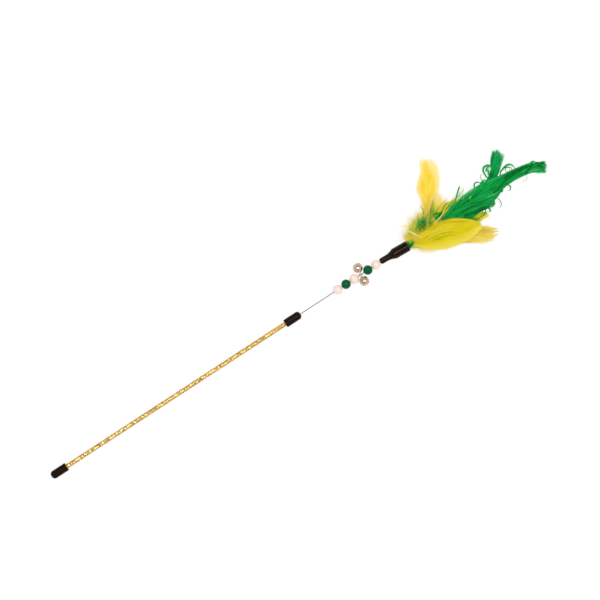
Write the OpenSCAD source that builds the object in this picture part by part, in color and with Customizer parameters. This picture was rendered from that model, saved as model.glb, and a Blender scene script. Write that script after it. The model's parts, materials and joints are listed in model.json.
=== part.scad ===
// Cat teaser wand: a glitter rod, a spring wire with beads and jingle bells, and a feather lure.
// Millimetres. +X runs from the handle to the feathers, +Z up, +Y to the left.
// The origin is on the rod's axis, at the middle of the handle cap's straight wall.

/* [Rod] */
// Outer diameter of the rod, over its glitter film
rod_d = 4.8; // [4:0.1:6]
// Length of the rod, with the ends that the caps hide
rod_l = 301; // [200:1:420]
// Thickness of the glitter film
film_t = 0.15; // [0.1:0.05:0.3]
// Wall of the plastic tube under the film
tube_t = 1; // [0.7:0.05:1.2]
// Length of the plug that grips the wire in the tube
anchor_l = 20; // [12:0.5:40]

/* [End caps] */
// Outer diameter of both end caps
cap_d = 8.7; // [8:0.1:12]
// Length of an end cap
cap_l = 18.5; // [14:0.5:30]
// Radius that rounds a cap's closed end
cap_round_r = 3.6; // [2:0.1:3.9]
// Thickness of a cap's closed end
cap_end_t = 2.5; // [1.5:0.1:4]

/* [Spring wire] */
// Diameter of the wire
wire_d = 0.8; // [0.6:0.05:1.1]
// Length of bare wire between the front cap and the first bead
bare_l = 41; // [32:1:80]
// Length of wire held in the anchor
wire_grip_l = 17; // [8:0.5:20]

/* [Beads] */
// Diameter of a bead
bead_d = 9.9; // [8:0.1:12]
// Bore of a bead
bead_bore_d = 1.4; // [1.3:0.05:2.4]
// Depth of the countersink where a bead's bore opens
bead_sink_l = 0.3; // [0.1:0.05:0.5]
// Free gap between the two beads that the bells sit between
bell_gap = 6.8; // [6.6:0.1:10]

/* [Bells] */
// Outer diameter of a bell
bell_d = 10; // [8:0.1:11]
// Wall of a bell
bell_t = 0.45; // [0.3:0.05:0.8]
// Distance from the wire's axis to a bell's centre
bell_reach = 7.4; // [7.2:0.1:9]
// Width of the cross slots
slot_w = 0.9; // [0.5:0.05:1.4]
// Diameter of the round hole at each slot's end
slot_end_d = 1.5; // [1.4:0.05:2]
// Angle from the bell's pole to a slot's end
slot_reach_a = 56; // [40:1:64]
// Wire diameter of a bell's loop
loop_wire_d = 0.7; // [0.5:0.05:0.8]
// Inner width of a bell's loop
loop_in_w = 1.9; // [1.9:0.05:2.6]
// Turn of the loop about the bell's own axis
loop_turn_a = 25; // [0:1:30]
// Diameter of the loose pellet
pellet_d = 3; // [2:0.1:4]

/* [Feather socket] */
// Whole length of the socket
socket_l = 33; // [28:0.5:45]
// Outer diameter of the neck
neck_d = 6.4; // [5.4:0.1:8]
// Length of the neck
neck_l = 10.9; // [9:0.1:14]
// Length of the shoulder cone
shoulder_l = 5.7; // [3:0.1:8]
// Outer diameter of the body
body_d = 11.2; // [10.6:0.1:14]
// Wall of the body
socket_t = 1.2; // [0.8:0.05:1.3]
// Chamfer on the neck's tip
nose_chamfer = 1.1; // [0.5:0.1:1.5]
// Rounding of the mouth's rim
rim_r = 0.5; // [0.2:0.05:0.6]
// How far the ridge at the shoulder stands out
ridge_h = 0.25; // [0.1:0.05:0.4]
// Width of that ridge
ridge_w = 1; // [0.6:0.1:1.6]
// Sideways lean of the socket, which hangs loosely on the wire's crimp
socket_lean_a = 3; // [0:0.5:5]
// Wall at the neck's tip that the crimp bears on
nose_wall = 2.4; // [1.5:0.1:4]
// Outer diameter of the crimp on the wire's end
crimp_d = 2.6; // [2.2:0.1:3]
// Length of the crimp
crimp_l = 6; // [4:0.5:8]
// Depth of the glue plug's face below the socket's mouth
plug_recess = 4; // [2:0.5:6]
// Length of quill that the glue holds
quill_grip_l = 6; // [3:0.5:8]

/* [Yellow feathers] */
// Reach of the upright feather from the mouth to its tip
upright_reach = 92; // [60:1:120]
// Width of the upright feather
upright_w = 25; // [14:1:30]
// Reach of the broad front feather
front_reach = 78; // [55:1:100]
// Width of the broad front feather
front_w = 31; // [18:1:34]
// Reach of the feather behind it
back_reach = 94; // [65:1:120]
// Width of the feather behind it
back_w = 19; // [12:1:22]
// Reach of the feather behind the green ones, upper side
upper_reach = 68; // [50:1:95]
// Width of that feather
upper_w = 15; // [10:1:18]
// Reach of the feather behind the green ones, lower side
lower_reach = 89; // [60:1:110]
// Width of that feather
lower_w = 15; // [10:1:18]
// Reach of the short yellow tuft
yellow_tuft_reach = 27; // [16:1:36]
// Width of the short yellow tuft
yellow_tuft_w = 13; // [8:1:18]

/* [Green feathers] */
// Reach of the long feather from the mouth to its tip
long_reach = 163; // [110:1:200]
// Width of the long feather
long_w = 28; // [16:1:34]
// Reach of the feather whose end turns up
upturned_reach = 133; // [90:1:160]
// Width of that feather
upturned_w = 14; // [10:1:18]
// Reach of the folded feather on the lower side
fold_reach = 99; // [70:1:120]
// Width of that feather
fold_w = 13; // [8:1:16]
// Reach of the short green tuft
green_tuft_reach = 27; // [16:1:36]
// Width of the short green tuft
green_tuft_w = 11; // [6:1:14]

/* [Feather make-up] */
// Diameter of a quill
quill_d = 1.2; // [0.8:0.05:1.3]
// Thickness of a vane
vane_t = 0.5; // [0.3:0.05:0.6]

/* [Clearances] */
// Radial gap between pieces that are pressed or glued together
fit_gap = 0.02; // [0:0.01:0.05]
// Gap between neighbouring beads, and between the last bead and the socket
bead_gap = 0.2; // [0.1:0.05:0.5]
// Radial gap round the wire where it passes through a cap or the neck
wire_gap = 0.1; // [0.05:0.05:0.2]
// Gap under a loose pellet at rest
pellet_gap = 0.05; // [0.02:0.01:0.2]

/* [Hidden] */
$fn = 64;

// One overrun serves every cut
cut_over = 1;

// Stations along the wand's axis
cap_wall_l = cap_l - cap_round_r;
handle_apex_x = -cap_wall_l / 2 - cap_round_r;
rod_x = handle_apex_x + cap_end_t;
rod_end_x = rod_x + rod_l;
wire_cap_apex_x = rod_end_x + cap_end_t;
bead_pitch = bead_d + bead_gap;
bead_1_x = wire_cap_apex_x + bare_l + bead_d / 2;
bead_4_x = bead_1_x + 2 * bead_pitch + bead_d + bell_gap;
bead_xs = [
    bead_1_x,
    bead_1_x + bead_pitch,
    bead_1_x + 2 * bead_pitch,
    bead_4_x,
    bead_4_x + bead_pitch
];
neck_x = bead_xs[4] + bead_d / 2 + bead_gap;
bells_x = (bead_xs[2] + bead_xs[3]) / 2;

// Bells: their loops stand side by side on the wire, and both bells hang level with the socket's body
loop_r = (loop_in_w + loop_wire_d) / 2;
loop_half_x = loop_r * sin(loop_turn_a) + loop_wire_d / 2;
bell_side_x = loop_half_x + fit_gap;
bell_drop = (body_d - bell_d) / 2;
bell_rest_a = asin(bell_drop / bell_reach);
function bell_turn_a(side) = side > 0 ? -bell_rest_a : 180 + bell_rest_a;

// Feather socket: it pivots on the wire in the middle of its nose wall, and the bores allow its lean
lean_x = neck_x + nose_wall / 2;
crimp_x = neck_x + nose_wall + crimp_d / 2 * sin(socket_lean_a) + fit_gap;
nose_bore_r = wire_d / 2 + wire_gap + nose_wall / 2 * tan(socket_lean_a);
chamber_r = crimp_d / 2 + wire_gap + (crimp_x + crimp_l - lean_x) * tan(socket_lean_a);
cavity_x = neck_l + shoulder_l;
cavity_r = body_d / 2 - socket_t;
plug_face_x = socket_l - plug_recess;
quill_r = quill_d / 2;

module along_x() {
    rotate([0, 90, 0]) children();
}

// A bar or bore along +X, starting at x
module bar_x(x, r, l) {
    translate([x, 0, 0]) along_x() cylinder(r = r, h = l);
}

// The lure's own frame: origin at the neck's tip, leaning with the socket
module lure_frame() {
    translate([lean_x, 0, 0]) rotate([0, 0, -socket_lean_a])
        translate([-nose_wall / 2, 0, 0]) children();
}

// Rod
module tube_bore(x, l) {
    bar_x(x, rod_d / 2 - film_t - fit_gap - tube_t, l);
}

module rod_tube() {
    color("whitesmoke") difference() {
        bar_x(rod_x, rod_d / 2 - film_t - fit_gap, rod_l);
        tube_bore(rod_x - cut_over, rod_l + 2 * cut_over);
    }
}

module glitter_film() {
    color("goldenrod") difference() {
        bar_x(rod_x, rod_d / 2, rod_l);
        bar_x(rod_x - cut_over, rod_d / 2 - film_t, rod_l + 2 * cut_over);
    }
}

module wire_anchor() {
    anchor_r = rod_d / 2 - film_t - tube_t - 2 * fit_gap;
    color("ivory") difference() {
        bar_x(rod_end_x - anchor_l, anchor_r, anchor_l);
        bar_x(rod_end_x - wire_grip_l, wire_d / 2 + fit_gap, wire_grip_l + cut_over);
    }
}

// Half profile of a cap: closed end at the bottom, rounded on the outside
module cap_profile() {
    bore_r = rod_d / 2 + fit_gap;
    difference() {
        union() {
            square([cap_d / 2 - cap_round_r, cap_l]);
            translate([0, cap_round_r]) square([cap_d / 2, cap_wall_l]);
            intersection() {
                translate([cap_d / 2 - cap_round_r, cap_round_r]) circle(r = cap_round_r);
                square([cap_d / 2, cap_l]);
            }
        }
        translate([0, cap_end_t]) square([bore_r, cap_l]);
    }
}

module end_cap() {
    along_x() rotate_extrude() cap_profile();
}

module handle_cap() {
    color("#140C08") translate([handle_apex_x, 0, 0]) end_cap();
}

module wire_cap() {
    color("#140C08") difference() {
        translate([wire_cap_apex_x, 0, 0]) mirror([1, 0, 0]) end_cap();
        bar_x(rod_end_x - cut_over, wire_d / 2 + wire_gap, cap_end_t + 2 * cut_over);
    }
}

// One straight wire from the anchor to the crimp in the socket's neck
module spring_wire() {
    wire_x = rod_end_x - wire_grip_l;
    color("gray") bar_x(wire_x, wire_d / 2, crimp_x + crimp_l - wire_x);
}

// A round bead with a countersink of 45 degrees at both ends of its bore
module bead(x) {
    bore_r = bead_bore_d / 2;
    half_bore_l = sqrt(bead_d * bead_d / 4 - bore_r * bore_r);
    translate([x, 0, 0]) along_x() difference() {
        sphere(d = bead_d);
        translate([0, 0, -bead_d]) cylinder(r = bore_r, h = 2 * bead_d);
        for (flip = [0, 1]) mirror([0, 0, flip])
            translate([0, 0, half_bore_l - bead_sink_l])
                cylinder(r1 = bore_r, r2 = bore_r + 2 * bead_sink_l, h = 2 * bead_sink_l);
    }
}

module bead_1() { color("#F0DED2") bead(bead_xs[0]); }
module bead_2() { color("#00502A") bead(bead_xs[1]); }
module bead_3() { color("#F0DED2") bead(bead_xs[2]); }
module bead_4() { color("#00502A") bead(bead_xs[3]); }
module bead_5() { color("#F0DED2") bead(bead_xs[4]); }

// A bell's own frame: origin at its centre, the wire on its -Y side
// side is 1 for the bell on the +Y side of the wand, and -1 for the other
module bell_frame(side) {
    translate([bells_x + side * bell_side_x, 0, 0])
        rotate([bell_turn_a(side), 0, 0]) translate([0, bell_reach, 0]) children();
}

// Two slots that cross at the pole, each with a round hole at both ends
module bell_slots() {
    bell_r = bell_d / 2;
    slot_y = bell_r * cos(slot_reach_a);
    slot_l = 2 * bell_r * sin(slot_reach_a);
    for (turn = [45, -45]) rotate([0, turn, 0]) {
        translate([-slot_l / 2, slot_y, -slot_w / 2]) cube([slot_l, bell_r, slot_w]);
        for (lean = [slot_reach_a, -slot_reach_a])
            rotate([0, 0, lean]) rotate([-90, 0, 0])
                translate([0, 0, bell_r / 2]) cylinder(d = slot_end_d, h = bell_r);
    }
}

module bell_shell(side) {
    color("#C9AE8C") bell_frame(side) difference() {
        sphere(d = bell_d);
        sphere(d = bell_d - 2 * bell_t);
        bell_slots();
    }
}

// A U of wire: two legs soldered to the shell and a half ring round the spring wire
module bell_shank(side) {
    color("#B89C78") bell_frame(side) difference() {
        rotate([0, side * loop_turn_a, 0]) union() {
            for (z = [-loop_r, loop_r]) translate([0, -bell_reach, z])
                rotate([-90, 0, 0]) cylinder(d = loop_wire_d, h = bell_reach - bell_d / 2 + bell_t);
            translate([0, -bell_reach, 0]) rotate([0, 90, 0]) rotate([0, 0, 180])
                rotate_extrude(angle = 180) translate([loop_r, 0]) circle(d = loop_wire_d);
        }
        sphere(d = bell_d + 2 * fit_gap);
    }
}

// The pellet lies at the lowest point inside its bell
module bell_pellet(side) {
    pellet_drop = bell_d / 2 - bell_t - pellet_d / 2 - pellet_gap;
    color("silver") translate([
        bells_x + side * bell_side_x,
        bell_reach * cos(bell_turn_a(side)),
        bell_reach * sin(bell_turn_a(side)) - pellet_drop
    ]) sphere(d = pellet_d);
}

module bell_a_shell() { bell_shell(1); }
module bell_a_shank() { bell_shank(1); }
module bell_a_pellet() { bell_pellet(1); }
module bell_b_shell() { bell_shell(-1); }
module bell_b_shank() { bell_shank(-1); }
module bell_b_pellet() { bell_pellet(-1); }

// Half profile of the socket: neck at the bottom, mouth at the top
module socket_profile() {
    neck_r = neck_d / 2;
    body_r = body_d / 2;
    difference() {
        union() {
            polygon([
                [0, 0],
                [neck_r - nose_chamfer, 0],
                [neck_r, nose_chamfer],
                [neck_r, neck_l],
                [body_r, cavity_x],
                [body_r, socket_l - rim_r],
                [body_r - rim_r, socket_l - rim_r],
                [body_r - rim_r, socket_l],
                [0, socket_l]
            ]);
            translate([body_r - rim_r, socket_l - rim_r]) circle(r = rim_r);
            translate([0, cavity_x]) square([body_r + ridge_h, ridge_w]);
        }
        translate([0, -cut_over]) square([nose_bore_r, socket_l]);
        translate([0, nose_wall]) square([chamber_r, socket_l]);
        translate([0, cavity_x]) square([cavity_r, socket_l]);
    }
}

module feather_socket() {
    color("#150B08") lure_frame() along_x() rotate_extrude() socket_profile();
}

module wire_crimp() {
    color("tan") difference() {
        bar_x(crimp_x, crimp_d / 2, crimp_l);
        bar_x(crimp_x - cut_over, wire_d / 2 + fit_gap, crimp_l + 2 * cut_over);
    }
}

// Where each quill leaves the glue: shares of the socket's cavity radius, to the left and up
upright_root_share = [0.74, -0.16];
front_root_share = [-0.2, 0.74];
back_root_share = [-0.66, 0.2];
upper_root_share = [0.38, -0.06];
lower_root_share = [-0.23, -0.42];
yellow_tuft_root_share = [0.54, 0.42];
long_root_share = [0.16, 0.32];
upturned_root_share = [-0.1, -0.74];
fold_root_share = [-0.6, -0.3];
green_tuft_root_share = [0.42, -0.56];
root_shares = [
    upright_root_share, front_root_share, back_root_share, upper_root_share,
    lower_root_share, yellow_tuft_root_share, long_root_share, upturned_root_share,
    fold_root_share, green_tuft_root_share
];

module quill_plug() {
    color("wheat") lure_frame() difference() {
        bar_x(cavity_x + fit_gap, cavity_r - fit_gap, plug_face_x - cavity_x - fit_gap);
        for (root = root_shares)
            translate([0, root[0] * cavity_r, root[1] * cavity_r])
                bar_x(plug_face_x - quill_grip_l, quill_r + fit_gap, quill_grip_l + cut_over);
    }
}

// Rise of a vane's middle over its edges, as a share of its half width
upright_camber_share = 0.08;
front_camber_share = 0.1;
flat_camber_share = 0.06;

// Where the round quill starts to turn into a vane, and how long that takes, along the spine
vane_start_share = 0.04;
vane_fade_share = 0.1;

// A feather's spine is a cubic curve. Its root is on the glue's face, and its other three points
// are shares of the feather's reach, measured along, to the left and up from the mouth's centre.
function cubic(p, t) =
    pow(1 - t, 3) * p[0] + 3 * t * pow(1 - t, 2) * p[1] + 3 * t * t * (1 - t) * p[2] + pow(t, 3) * p[3];
function cubic_slope(p, t) =
    pow(1 - t, 2) * (p[1] - p[0]) + 2 * t * (1 - t) * (p[2] - p[1]) + t * t * (p[3] - p[2]);
function unit(v) = v / norm(v);
function smooth(t) = t <= 0 ? 0 : t >= 1 ? 1 : t * t * (3 - 2 * t);

// Places across a vane, as shares of its half width: over the top from left to right, then back
section_top_shares = [1, 0.6, 0.22, 0, -0.22, -0.6, -1];
section_under_shares = [-0.6, -0.22, 0, 0.22, 0.6];
section_n = len(section_top_shares) + len(section_under_shares);
rings_n = 24;

// Height of a vane's face over its middle line: the quill's ridge, thinning to a sharp edge
function face_h(share, y) =
    abs(share) == 1 ? 0 : vane_t / 2 + (quill_r - vane_t / 2) * max(0, 1 - pow(y / (2 * quill_r), 2));

// One ring of points round the spine at t, fading from the round quill to the flat vane
function feather_ring(p, t, half_w, left_shares, right_shares, rolls, camber_share) =
    let (
        centre = cubic(p, t),
        along = unit(cubic_slope(p, t)),
        flat_side = unit(cross([0, 0, 1], along)),
        flat_up = cross(along, flat_side),
        roll = lookup(t, rolls),
        side = flat_side * cos(roll) + flat_up * sin(roll),
        up = flat_up * cos(roll) - flat_side * sin(roll),
        vane = smooth((t - vane_start_share) / vane_fade_share),
        left = max(half_w * lookup(t, left_shares), quill_r),
        right = max(half_w * lookup(t, right_shares), quill_r)
    )
    [
        for (k = [0 : section_n - 1])
            let (
                on_top = k < len(section_top_shares),
                share = on_top ? section_top_shares[k] : section_under_shares[k - len(section_top_shares)],
                turn = 360 * k / section_n,
                a = share > 0 ? left : right,
                y = a * share,
                z = (on_top ? 1 : -1) * face_h(share, y) - camber_share * a * share * share,
                yr = quill_r * cos(turn),
                zr = quill_r * sin(turn)
            )
            centre + side * (yr + (y - yr) * vane) + up * (zr + (z - zr) * vane)
    ];

// A closed skin through rings of equal count, with both ends capped
module skin(rings) {
    m = len(rings[0]);
    n = len(rings);
    polyhedron(
        points = [for (ring = rings) for (p = ring) p],
        faces = concat(
            [for (i = [0 : n - 2]) for (k = [0 : m - 1]) [i * m + k, i * m + (k + 1) % m, (i + 1) * m + k]],
            [for (i = [0 : n - 2]) for (k = [0 : m - 1])
                [i * m + (k + 1) % m, (i + 1) * m + (k + 1) % m, (i + 1) * m + k]],
            [for (k = [1 : m - 2]) [0, k + 1, k]],
            [for (k = [1 : m - 2]) [(n - 1) * m, (n - 1) * m + k, (n - 1) * m + k + 1]]
        ),
        convexity = 6
    );
}

module feather(root_share, reach, w, path_shares, left_shares, right_shares, rolls, camber_share) {
    root = [-plug_recess, root_share[0] * cavity_r, root_share[1] * cavity_r];
    p = [root, reach * path_shares[0], reach * path_shares[1], reach * path_shares[2]];
    grip = [
        for (k = [0 : section_n - 1])
            root + [-quill_grip_l, quill_r * cos(360 * k / section_n), quill_r * sin(360 * k / section_n)]
    ];
    blade = [
        for (i = [0 : rings_n - 1])
            feather_ring(p, i / (rings_n - 1), w / 2, left_shares, right_shares, rolls, camber_share)
    ];
    lure_frame() translate([socket_l, 0, 0]) skin(concat([grip], blade));
}

// Outlines: width to one side of the spine along its length, as shares of the feather's half width.
// A feather that is worn on one side has its own outline left and right of the spine.
leaf_shares = [[0, 0], [0.12, 0.1], [0.3, 0.62], [0.5, 1], [0.72, 0.94], [0.88, 0.6], [1, 0.2]];
spear_shares = [[0, 0], [0.14, 0.1], [0.35, 0.6], [0.6, 1], [0.8, 0.8], [0.94, 0.6], [1, 0.2]];
slim_shares = [[0, 0], [0.14, 0.1], [0.35, 0.5], [0.6, 0.72], [0.76, 0.7], [0.84, 0.46], [1, 0.2]];
tuft_shares = [[0, 0], [0.26, 0.2], [0.55, 1], [0.8, 0.9], [1, 0.4]];
upright_left_shares = [
    [0, 0], [0.2, 0.06], [0.5, 0.3], [0.61, 0.56], [0.73, 0.94], [0.8, 0.8], [0.9, 0.36], [1, 0.32]
];
upright_right_shares = [
    [0, 0], [0.2, 0.1], [0.45, 0.56], [0.63, 0.8], [0.8, 1], [0.9, 0.98], [0.96, 0.66], [1, 0.34]
];
front_left_shares = [
    [0, 0], [0.16, 0.34], [0.24, 0.58], [0.37, 0.76], [0.5, 0.97],
    [0.63, 0.97], [0.74, 0.82], [0.82, 0.68], [0.91, 0.46], [1, 0.14]
];
front_right_shares = [
    [0, 0], [0.14, 0.24], [0.24, 0.56], [0.37, 0.9], [0.5, 1],
    [0.63, 0.9], [0.74, 0.8], [0.82, 0.72], [0.91, 0.52], [1, 0.16]
];
back_left_shares = [[0, 0], [0.14, 0.1], [0.35, 0.6], [0.6, 0.9], [0.83, 0.7], [0.9, 0.58], [1, 0.3]];
back_right_shares = [
    [0, 0], [0.14, 0.1], [0.35, 0.6], [0.6, 0.85], [0.75, 1], [0.86, 1.06], [0.94, 0.9], [1, 0.4]
];
long_left_shares = [
    [0, 0], [0.16, 0.08], [0.27, 0.28], [0.37, 0.62], [0.45, 0.7], [0.53, 0.7], [0.65, 0.66],
    [0.7, 0.53], [0.75, 0.5], [0.8, 0.56], [0.87, 0.58], [0.92, 0.54], [0.95, 0.35], [1, 0.4]
];
long_right_shares = [
    [0, 0], [0.16, 0.1], [0.3, 0.4], [0.4, 0.72], [0.5, 0.9], [0.55, 1], [0.6, 0.97],
    [0.66, 0.7], [0.7, 0.46], [0.76, 0.34], [0.83, 0.3], [0.88, 0.21], [0.93, 0.24], [1, 0.46]
];
upturned_left_shares = [
    [0, 0], [0.2, 0.1], [0.4, 0.5], [0.6, 0.5], [0.74, 0.38],
    [0.82, 0.5], [0.87, 0.9], [0.93, 1.06], [1, 0.9]
];
upturned_right_shares = [
    [0, 0], [0.2, 0.1], [0.4, 0.5], [0.6, 0.5], [0.76, 0.5],
    [0.84, 0.37], [0.9, 0.44], [0.95, 0.72], [1, 0.9]
];

// Spines: the curve's last three points, as shares of the reach
upright_path_shares = [[0.31, 0.05, -0.03], [0.495, 0.325, -0.04], [0.64, 0.742, -0.045]];
front_path_shares = [[0.28, -0.052, 0.06], [0.63, -0.155, 0.14], [0.96, -0.247, 0.1]];
back_path_shares = [[0.27, -0.07, 0.036], [0.62, -0.21, 0.026], [0.94, -0.35, -0.046]];
upper_path_shares = [[0.3, 0.05, 0.02], [0.64, 0.135, 0.02], [0.97, 0.225, 0.01]];
lower_path_shares = [[0.28, -0.03, -0.032], [0.67, -0.095, -0.034], [0.99, -0.145, -0.024]];
yellow_tuft_path_shares = [[0.46, 0.1, 0.14], [0.56, 0.74, 0.2], [0.11, 0.98, 0.12]];
long_path_shares = [[0.33, 0, 0.02], [0.68, 0.12, 0.04], [1, 0, 0.02]];
upturned_path_shares = [[0.41, 0.02, -0.032], [0.82, 0.02, -0.03], [0.97, 0.276, -0.02]];
fold_path_shares = [[0.3, -0.02, 0.002], [0.66, -0.03, 0.004], [1, -0.05, 0.01]];
green_tuft_path_shares = [[0.34, 0.14, -0.11], [0.6, 0.36, -0.13], [0.84, 0.54, -0.12]];

// Turns of a vane about its spine, in degrees along the spine
level_rolls = [[0, 0], [1, 0]];
upright_rolls = [[0, 0], [0.5, 4], [1, -8]];
front_rolls = [[0, 0], [0.6, 0], [1, -8]];
long_rolls = [[0, 0], [0.6, 0], [0.82, 30], [0.92, 20], [1, -10]];
upturned_rolls = [[0, 0], [0.7, 0], [1, 10]];

module yellow_upright() {
    color("#E8D018")
        feather(
            upright_root_share, upright_reach, upright_w,
            upright_path_shares, upright_left_shares, upright_right_shares,
            upright_rolls, upright_camber_share
        );
}

module yellow_front() {
    color("#E8D018")
        feather(
            front_root_share, front_reach, front_w,
            front_path_shares, front_left_shares, front_right_shares,
            front_rolls, front_camber_share
        );
}

module yellow_back() {
    color("#E8D018")
        feather(
            back_root_share, back_reach, back_w,
            back_path_shares, back_left_shares, back_right_shares, level_rolls, flat_camber_share
        );
}

module yellow_upper() {
    color("#E8D018")
        feather(
            upper_root_share, upper_reach, upper_w,
            upper_path_shares, leaf_shares, leaf_shares, level_rolls, flat_camber_share
        );
}

module yellow_lower() {
    color("#E8D018")
        feather(
            lower_root_share, lower_reach, lower_w,
            lower_path_shares, leaf_shares, leaf_shares, level_rolls, flat_camber_share
        );
}

module yellow_tuft() {
    color("#E8D018")
        feather(
            yellow_tuft_root_share, yellow_tuft_reach, yellow_tuft_w,
            yellow_tuft_path_shares, tuft_shares, tuft_shares, level_rolls, flat_camber_share
        );
}

module green_long() {
    color("#009A3E")
        feather(
            long_root_share, long_reach, long_w,
            long_path_shares, long_left_shares, long_right_shares,
            long_rolls, flat_camber_share
        );
}

module green_upturned() {
    color("#009A3E")
        feather(
            upturned_root_share, upturned_reach, upturned_w,
            upturned_path_shares, upturned_left_shares, upturned_right_shares,
            upturned_rolls, flat_camber_share
        );
}

module green_lower() {
    color("#009A3E")
        feather(
            fold_root_share, fold_reach, fold_w,
            fold_path_shares, spear_shares, slim_shares, level_rolls, flat_camber_share
        );
}

module green_tuft() {
    color("#009A3E")
        feather(
            green_tuft_root_share, green_tuft_reach, green_tuft_w,
            green_tuft_path_shares, tuft_shares, tuft_shares, level_rolls, flat_camber_share
        );
}

rod_tube();
glitter_film();
handle_cap();
wire_cap();
wire_anchor();
spring_wire();
bead_1();
bead_2();
bead_3();
bead_4();
bead_5();
bell_a_shell();
bell_a_shank();
bell_a_pellet();
bell_b_shell();
bell_b_shank();
bell_b_pellet();
feather_socket();
wire_crimp();
quill_plug();
yellow_upright();
yellow_front();
yellow_back();
yellow_upper();
yellow_lower();
yellow_tuft();
green_long();
green_upturned();
green_lower();
green_tuft();
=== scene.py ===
"""Cat teaser wand: a glitter rod, a spring wire with beads and jingle bells, and a feather lure.

Sizes are in millimetres in the wand's own frame: +X from the handle to the feathers, +Y to the
left and +Z up. Meshes are turned to metres when they become pieces.
"""

import json
import logging
import math
from dataclasses import dataclass, field, replace
from enum import Enum
from typing import Sequence

import bmesh
import bpy
import numpy as np
from mathutils import Matrix, Vector


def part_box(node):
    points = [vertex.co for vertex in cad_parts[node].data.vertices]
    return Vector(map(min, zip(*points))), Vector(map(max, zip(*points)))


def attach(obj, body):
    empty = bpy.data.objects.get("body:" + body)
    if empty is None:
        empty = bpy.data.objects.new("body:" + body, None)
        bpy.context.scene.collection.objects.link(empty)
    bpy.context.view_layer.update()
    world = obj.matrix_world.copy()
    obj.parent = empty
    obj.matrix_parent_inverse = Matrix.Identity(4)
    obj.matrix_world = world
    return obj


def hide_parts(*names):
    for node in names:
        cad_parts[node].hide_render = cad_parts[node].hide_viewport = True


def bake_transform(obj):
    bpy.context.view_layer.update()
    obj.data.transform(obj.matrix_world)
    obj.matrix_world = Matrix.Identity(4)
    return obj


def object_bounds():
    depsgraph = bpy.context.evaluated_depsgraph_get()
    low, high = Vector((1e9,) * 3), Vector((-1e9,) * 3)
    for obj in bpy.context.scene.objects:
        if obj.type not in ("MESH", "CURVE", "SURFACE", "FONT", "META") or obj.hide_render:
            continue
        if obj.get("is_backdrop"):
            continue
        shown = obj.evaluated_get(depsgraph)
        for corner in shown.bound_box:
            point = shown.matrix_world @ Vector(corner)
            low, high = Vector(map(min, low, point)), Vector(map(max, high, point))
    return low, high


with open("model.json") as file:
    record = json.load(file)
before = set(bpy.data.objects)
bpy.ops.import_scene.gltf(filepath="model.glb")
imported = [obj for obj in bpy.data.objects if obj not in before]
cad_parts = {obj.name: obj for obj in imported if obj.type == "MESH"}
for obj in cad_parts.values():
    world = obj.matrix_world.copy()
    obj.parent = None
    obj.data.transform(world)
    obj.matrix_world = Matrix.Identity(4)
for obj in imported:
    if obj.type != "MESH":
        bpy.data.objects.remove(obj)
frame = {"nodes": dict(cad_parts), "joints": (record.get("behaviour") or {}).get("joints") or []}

log = logging.getLogger("wand")

MM = 0.001
BAKE_MAP = "OFBake"
TWO_PI = 2 * math.pi
# Points closer than this, in millimetres, are one.
WELD = 1e-4
UP = np.array([0.0, 0.0, 1.0])

Point2 = tuple[float, float]
Point3 = tuple[float, float, float]
Stops = Sequence[tuple[float, str]]
Faces = list[bmesh.types.BMFace]
Mesh = bpy.types.Mesh
Node = bpy.types.Node
Socket = bpy.types.NodeSocket
Tree = bpy.types.NodeTree


def linear(hex_colour: str) -> tuple[float, float, float, float]:
    """Turns an sRGB hex colour to a linear RGBA one.

    Args:
        hex_colour: Six hex digits, with or without a leading hash.

    Returns:
        Red, green, blue and an alpha of 1.
    """
    digits = hex_colour.lstrip("#")
    shares = [int(digits[i : i + 2], 16) / 255 for i in (0, 2, 4)]
    red, green, blue = (
        s / 12.92 if s <= 0.04045 else ((s + 0.055) / 1.055) ** 2.4 for s in shares
    )
    return red, green, blue, 1.0


def add_node(
    tree: Tree, kind: str, links: dict[str | int, Socket] | None = None, **settings: object
) -> Node:
    """Adds one node with its settings and its incoming links.

    Args:
        tree: The node tree that gets the node.
        kind: The node's type name.
        links: Input name or number, and the output socket that feeds it.
        **settings: Node properties, or input defaults with spaces written as underscores.

    Returns:
        The new node.
    """
    node = tree.nodes.new(kind)
    for name, value in settings.items():
        if hasattr(node, name):
            setattr(node, name, value)
        else:
            node.inputs[name.replace("_", " ")].default_value = value
    for name, source in (links or {}).items():
        tree.links.new(source, node.inputs[name])
    return node


def feed(tree: Tree, target: Socket, value: object) -> None:
    """Feeds an input.

    Args:
        tree: The node tree.
        target: The input.
        value: The output socket to link, or a plain value to set.
    """
    if isinstance(value, bpy.types.NodeSocket):
        tree.links.new(value, target)
    else:
        target.default_value = value


def maths(
    tree: Tree, operation: str, first: Socket, second: object = None, kind: str = "Math"
) -> Socket:
    """Adds a calculation.

    Args:
        tree: The node tree.
        operation: What it does.
        first: Its first value.
        second: Its second value, a socket or plain, or None where it has only one.
        kind: "Math" for numbers or "VectorMath" for vectors.

    Returns:
        The result.
    """
    node = add_node(tree, f"ShaderNode{kind}", {0: first}, operation=operation)
    if second is not None:
        feed(tree, node.inputs[1], second)
    return node.outputs[0]


def between(
    tree: Tree, value: Socket, low: float, high: float, start: float = 0.0, end: float = 1.0
) -> Socket:
    """Turns a value's range to another, and holds it there.

    Args:
        tree: The node tree.
        value: The value.
        low: Result at the start.
        high: Result at the end.
        start: Where the value's range starts.
        end: Where it ends.

    Returns:
        The result.
    """
    ends = {"From_Min": start, "From_Max": end, "To_Min": low, "To_Max": high}
    return add_node(tree, "ShaderNodeMapRange", {"Value": value}, **ends).outputs["Result"]


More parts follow.
